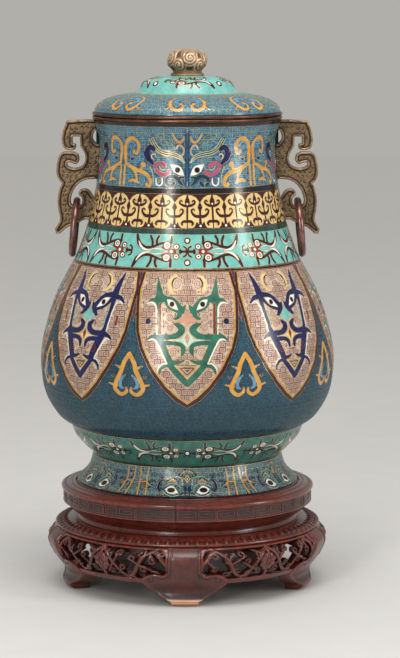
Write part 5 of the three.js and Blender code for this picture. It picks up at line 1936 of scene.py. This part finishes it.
side = [(beside_leg(37.6, 20.5), 20.5), (beside_leg(38.8, 21.7), 21.7),
        (beside_leg(35.8, 27.7), 27.7), (beside_leg(29.6, 30.7), 30.7),
        (beside_leg(18.9, 30.2), 30.3), (beside_leg(14.9, 33.7), 33.7)]
side += [(beside_leg(14.9, h), h) for h in (38, 42, 46, 50, 55)]
LOW, HIGH = 26, 52.2
MIDDLE = (LOW + HIGH) / 2
window = [(window_half(v) - inward, v) for v, inward in (
    (LOW, 5), (LOW + 5, 0), (MIDDLE, 0), (HIGH - 5, 0), (HIGH - 1.5, 1.5), (HIGH, 5))]
cells = fill("solid", with_left(side)) + fill("open", with_left(window))
print("window from", LOW, "to", HIGH, "mm")

# %% Vine, flower and sprays
FLOWER, HEART = 8.7, 2.6                # radii
half_vine = window_half(MIDDLE) + 1
swing = (HIGH - LOW - 4.2) / 2 + 1
vine = [(-half_vine + 2 * half_vine * s, MIDDLE + swing * math.sin(5 * math.pi * s))
        for s in np.linspace(0, 1, 41)]
cells += stroke("solid", vine, 2.9, 2)
cells += stroke("solid", [(0, LOW - 1), (0, HIGH + 1)], 3)
cells += blob("solid", [(FLOWER * math.cos(a) * (1 if k % 2 else 0.86),
                         MIDDLE + FLOWER * math.sin(a) * (1 if k % 2 else 0.86))
                        for k, a in enumerate(np.linspace(0, 2 * math.pi, 16, endpoint=False))])
SPRAYS = ((.16, .30, 3.4, 1), (.16, -.32, 3.2, -1), (.32, .34, 3.8, -1), (.34, -.1, 3.2, 1),
          (.46, -.34, 3.6, -1), (.5, .2, 3.4, 1), (.64, .38, 3.2, -1), (.66, -.18, 3.6, 1),
          (.82, -.34, 3.4, -1), (.82, .16, 3.6, 1), (.93, .36, 2.8, -1))
for sign in (1, -1):
    for u, v, size, spin in SPRAYS:
        centre = (sign * u * half_vine, MIDDLE + sign * v * (HIGH - LOW))
        spin *= sign
        line = [(centre[0] + size * (1 - .75 * s) * math.cos(spin * 5.2 * s + 1 + u * 9),
                 centre[1] + size * (1 - .75 * s) * math.sin(spin * 5.2 * s + 1 + u * 9))
                for s in np.linspace(0, 1, 14)]
        cells += stroke("solid", line, (1.7, 1.6, 1.5), 1)
        cells += disc("solid", line[-1], 1.3, 8)
        toward = min(vine, key=lambda p: math.dist(p, line[0]))
        cells += stroke("solid", [toward, line[0]], (1.8, 1.6))
        tip = (line[0][0] * 2 - toward[0], line[0][1] * 2 - toward[1])
        reach = min(1, 4.5 / (math.dist(tip, line[0]) + 0.1))
        tip = tuple(line[0][k] + (tip[k] - line[0][k]) * reach for k in (0, 1))
        cells += stroke("solid", [line[0], tip], (2.2, .6))
print("cells in an apron:", len(cells))

# %% Relief of an apron, and the five aprons
ENGRAVED_AT, ENGRAVED_HALF = 22.6, 34
apron = Panel(cells, 0.9)
gap = apron.depth
x, z = apron.spots.T
inside = (np.abs(x) < window_half(MIDDLE) + 1.5) & (z > LOW - 0.3) & (z < HIGH + 0.3)
petals = np.hypot(x, z - MIDDLE)
flower = step_between(FLOWER - petals, 0, 1)
angle = np.arctan2(z - MIDDLE, x)
petal_lines = flower * (np.abs(np.sin(angle * 4)) < 0.2) * (petals > HEART)
heart = groove(abs(petals - HEART), 0.7)
engraved = groove(abs(z - ENGRAVED_AT), 0.5) * (np.abs(x) < ENGRAVED_HALF)
relief = (0.85 * groove(gap, 1.1) + np.where(inside, 0.5, 0) + 0.6 * petal_lines
          + 0.7 * heart * flower + 0.5 * engraved)
recess_and_shade = np.clip(0.65 * groove(gap, 0.8) * inside + petal_lines + heart * flower
                 + 0.8 * engraved, 0, 1)
front = bent(apron.spots, face_at(z, APRON_BACK) - relief)
back = bent(apron.spots, face_at(z, APRON_BACK + APRON_THICK))
for number in range(LEGS):
    piece = apron.solid(f"pierced_apron_{number + 1}", front, back, recess_and_shade, [WOOD], "stand",
                        "hardwood", (number + 0.5) * LEG_TURN + STAND_TURN)
    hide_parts(f"apron_{number + 1}")
print("apron faces:", len(piece.data.polygons))
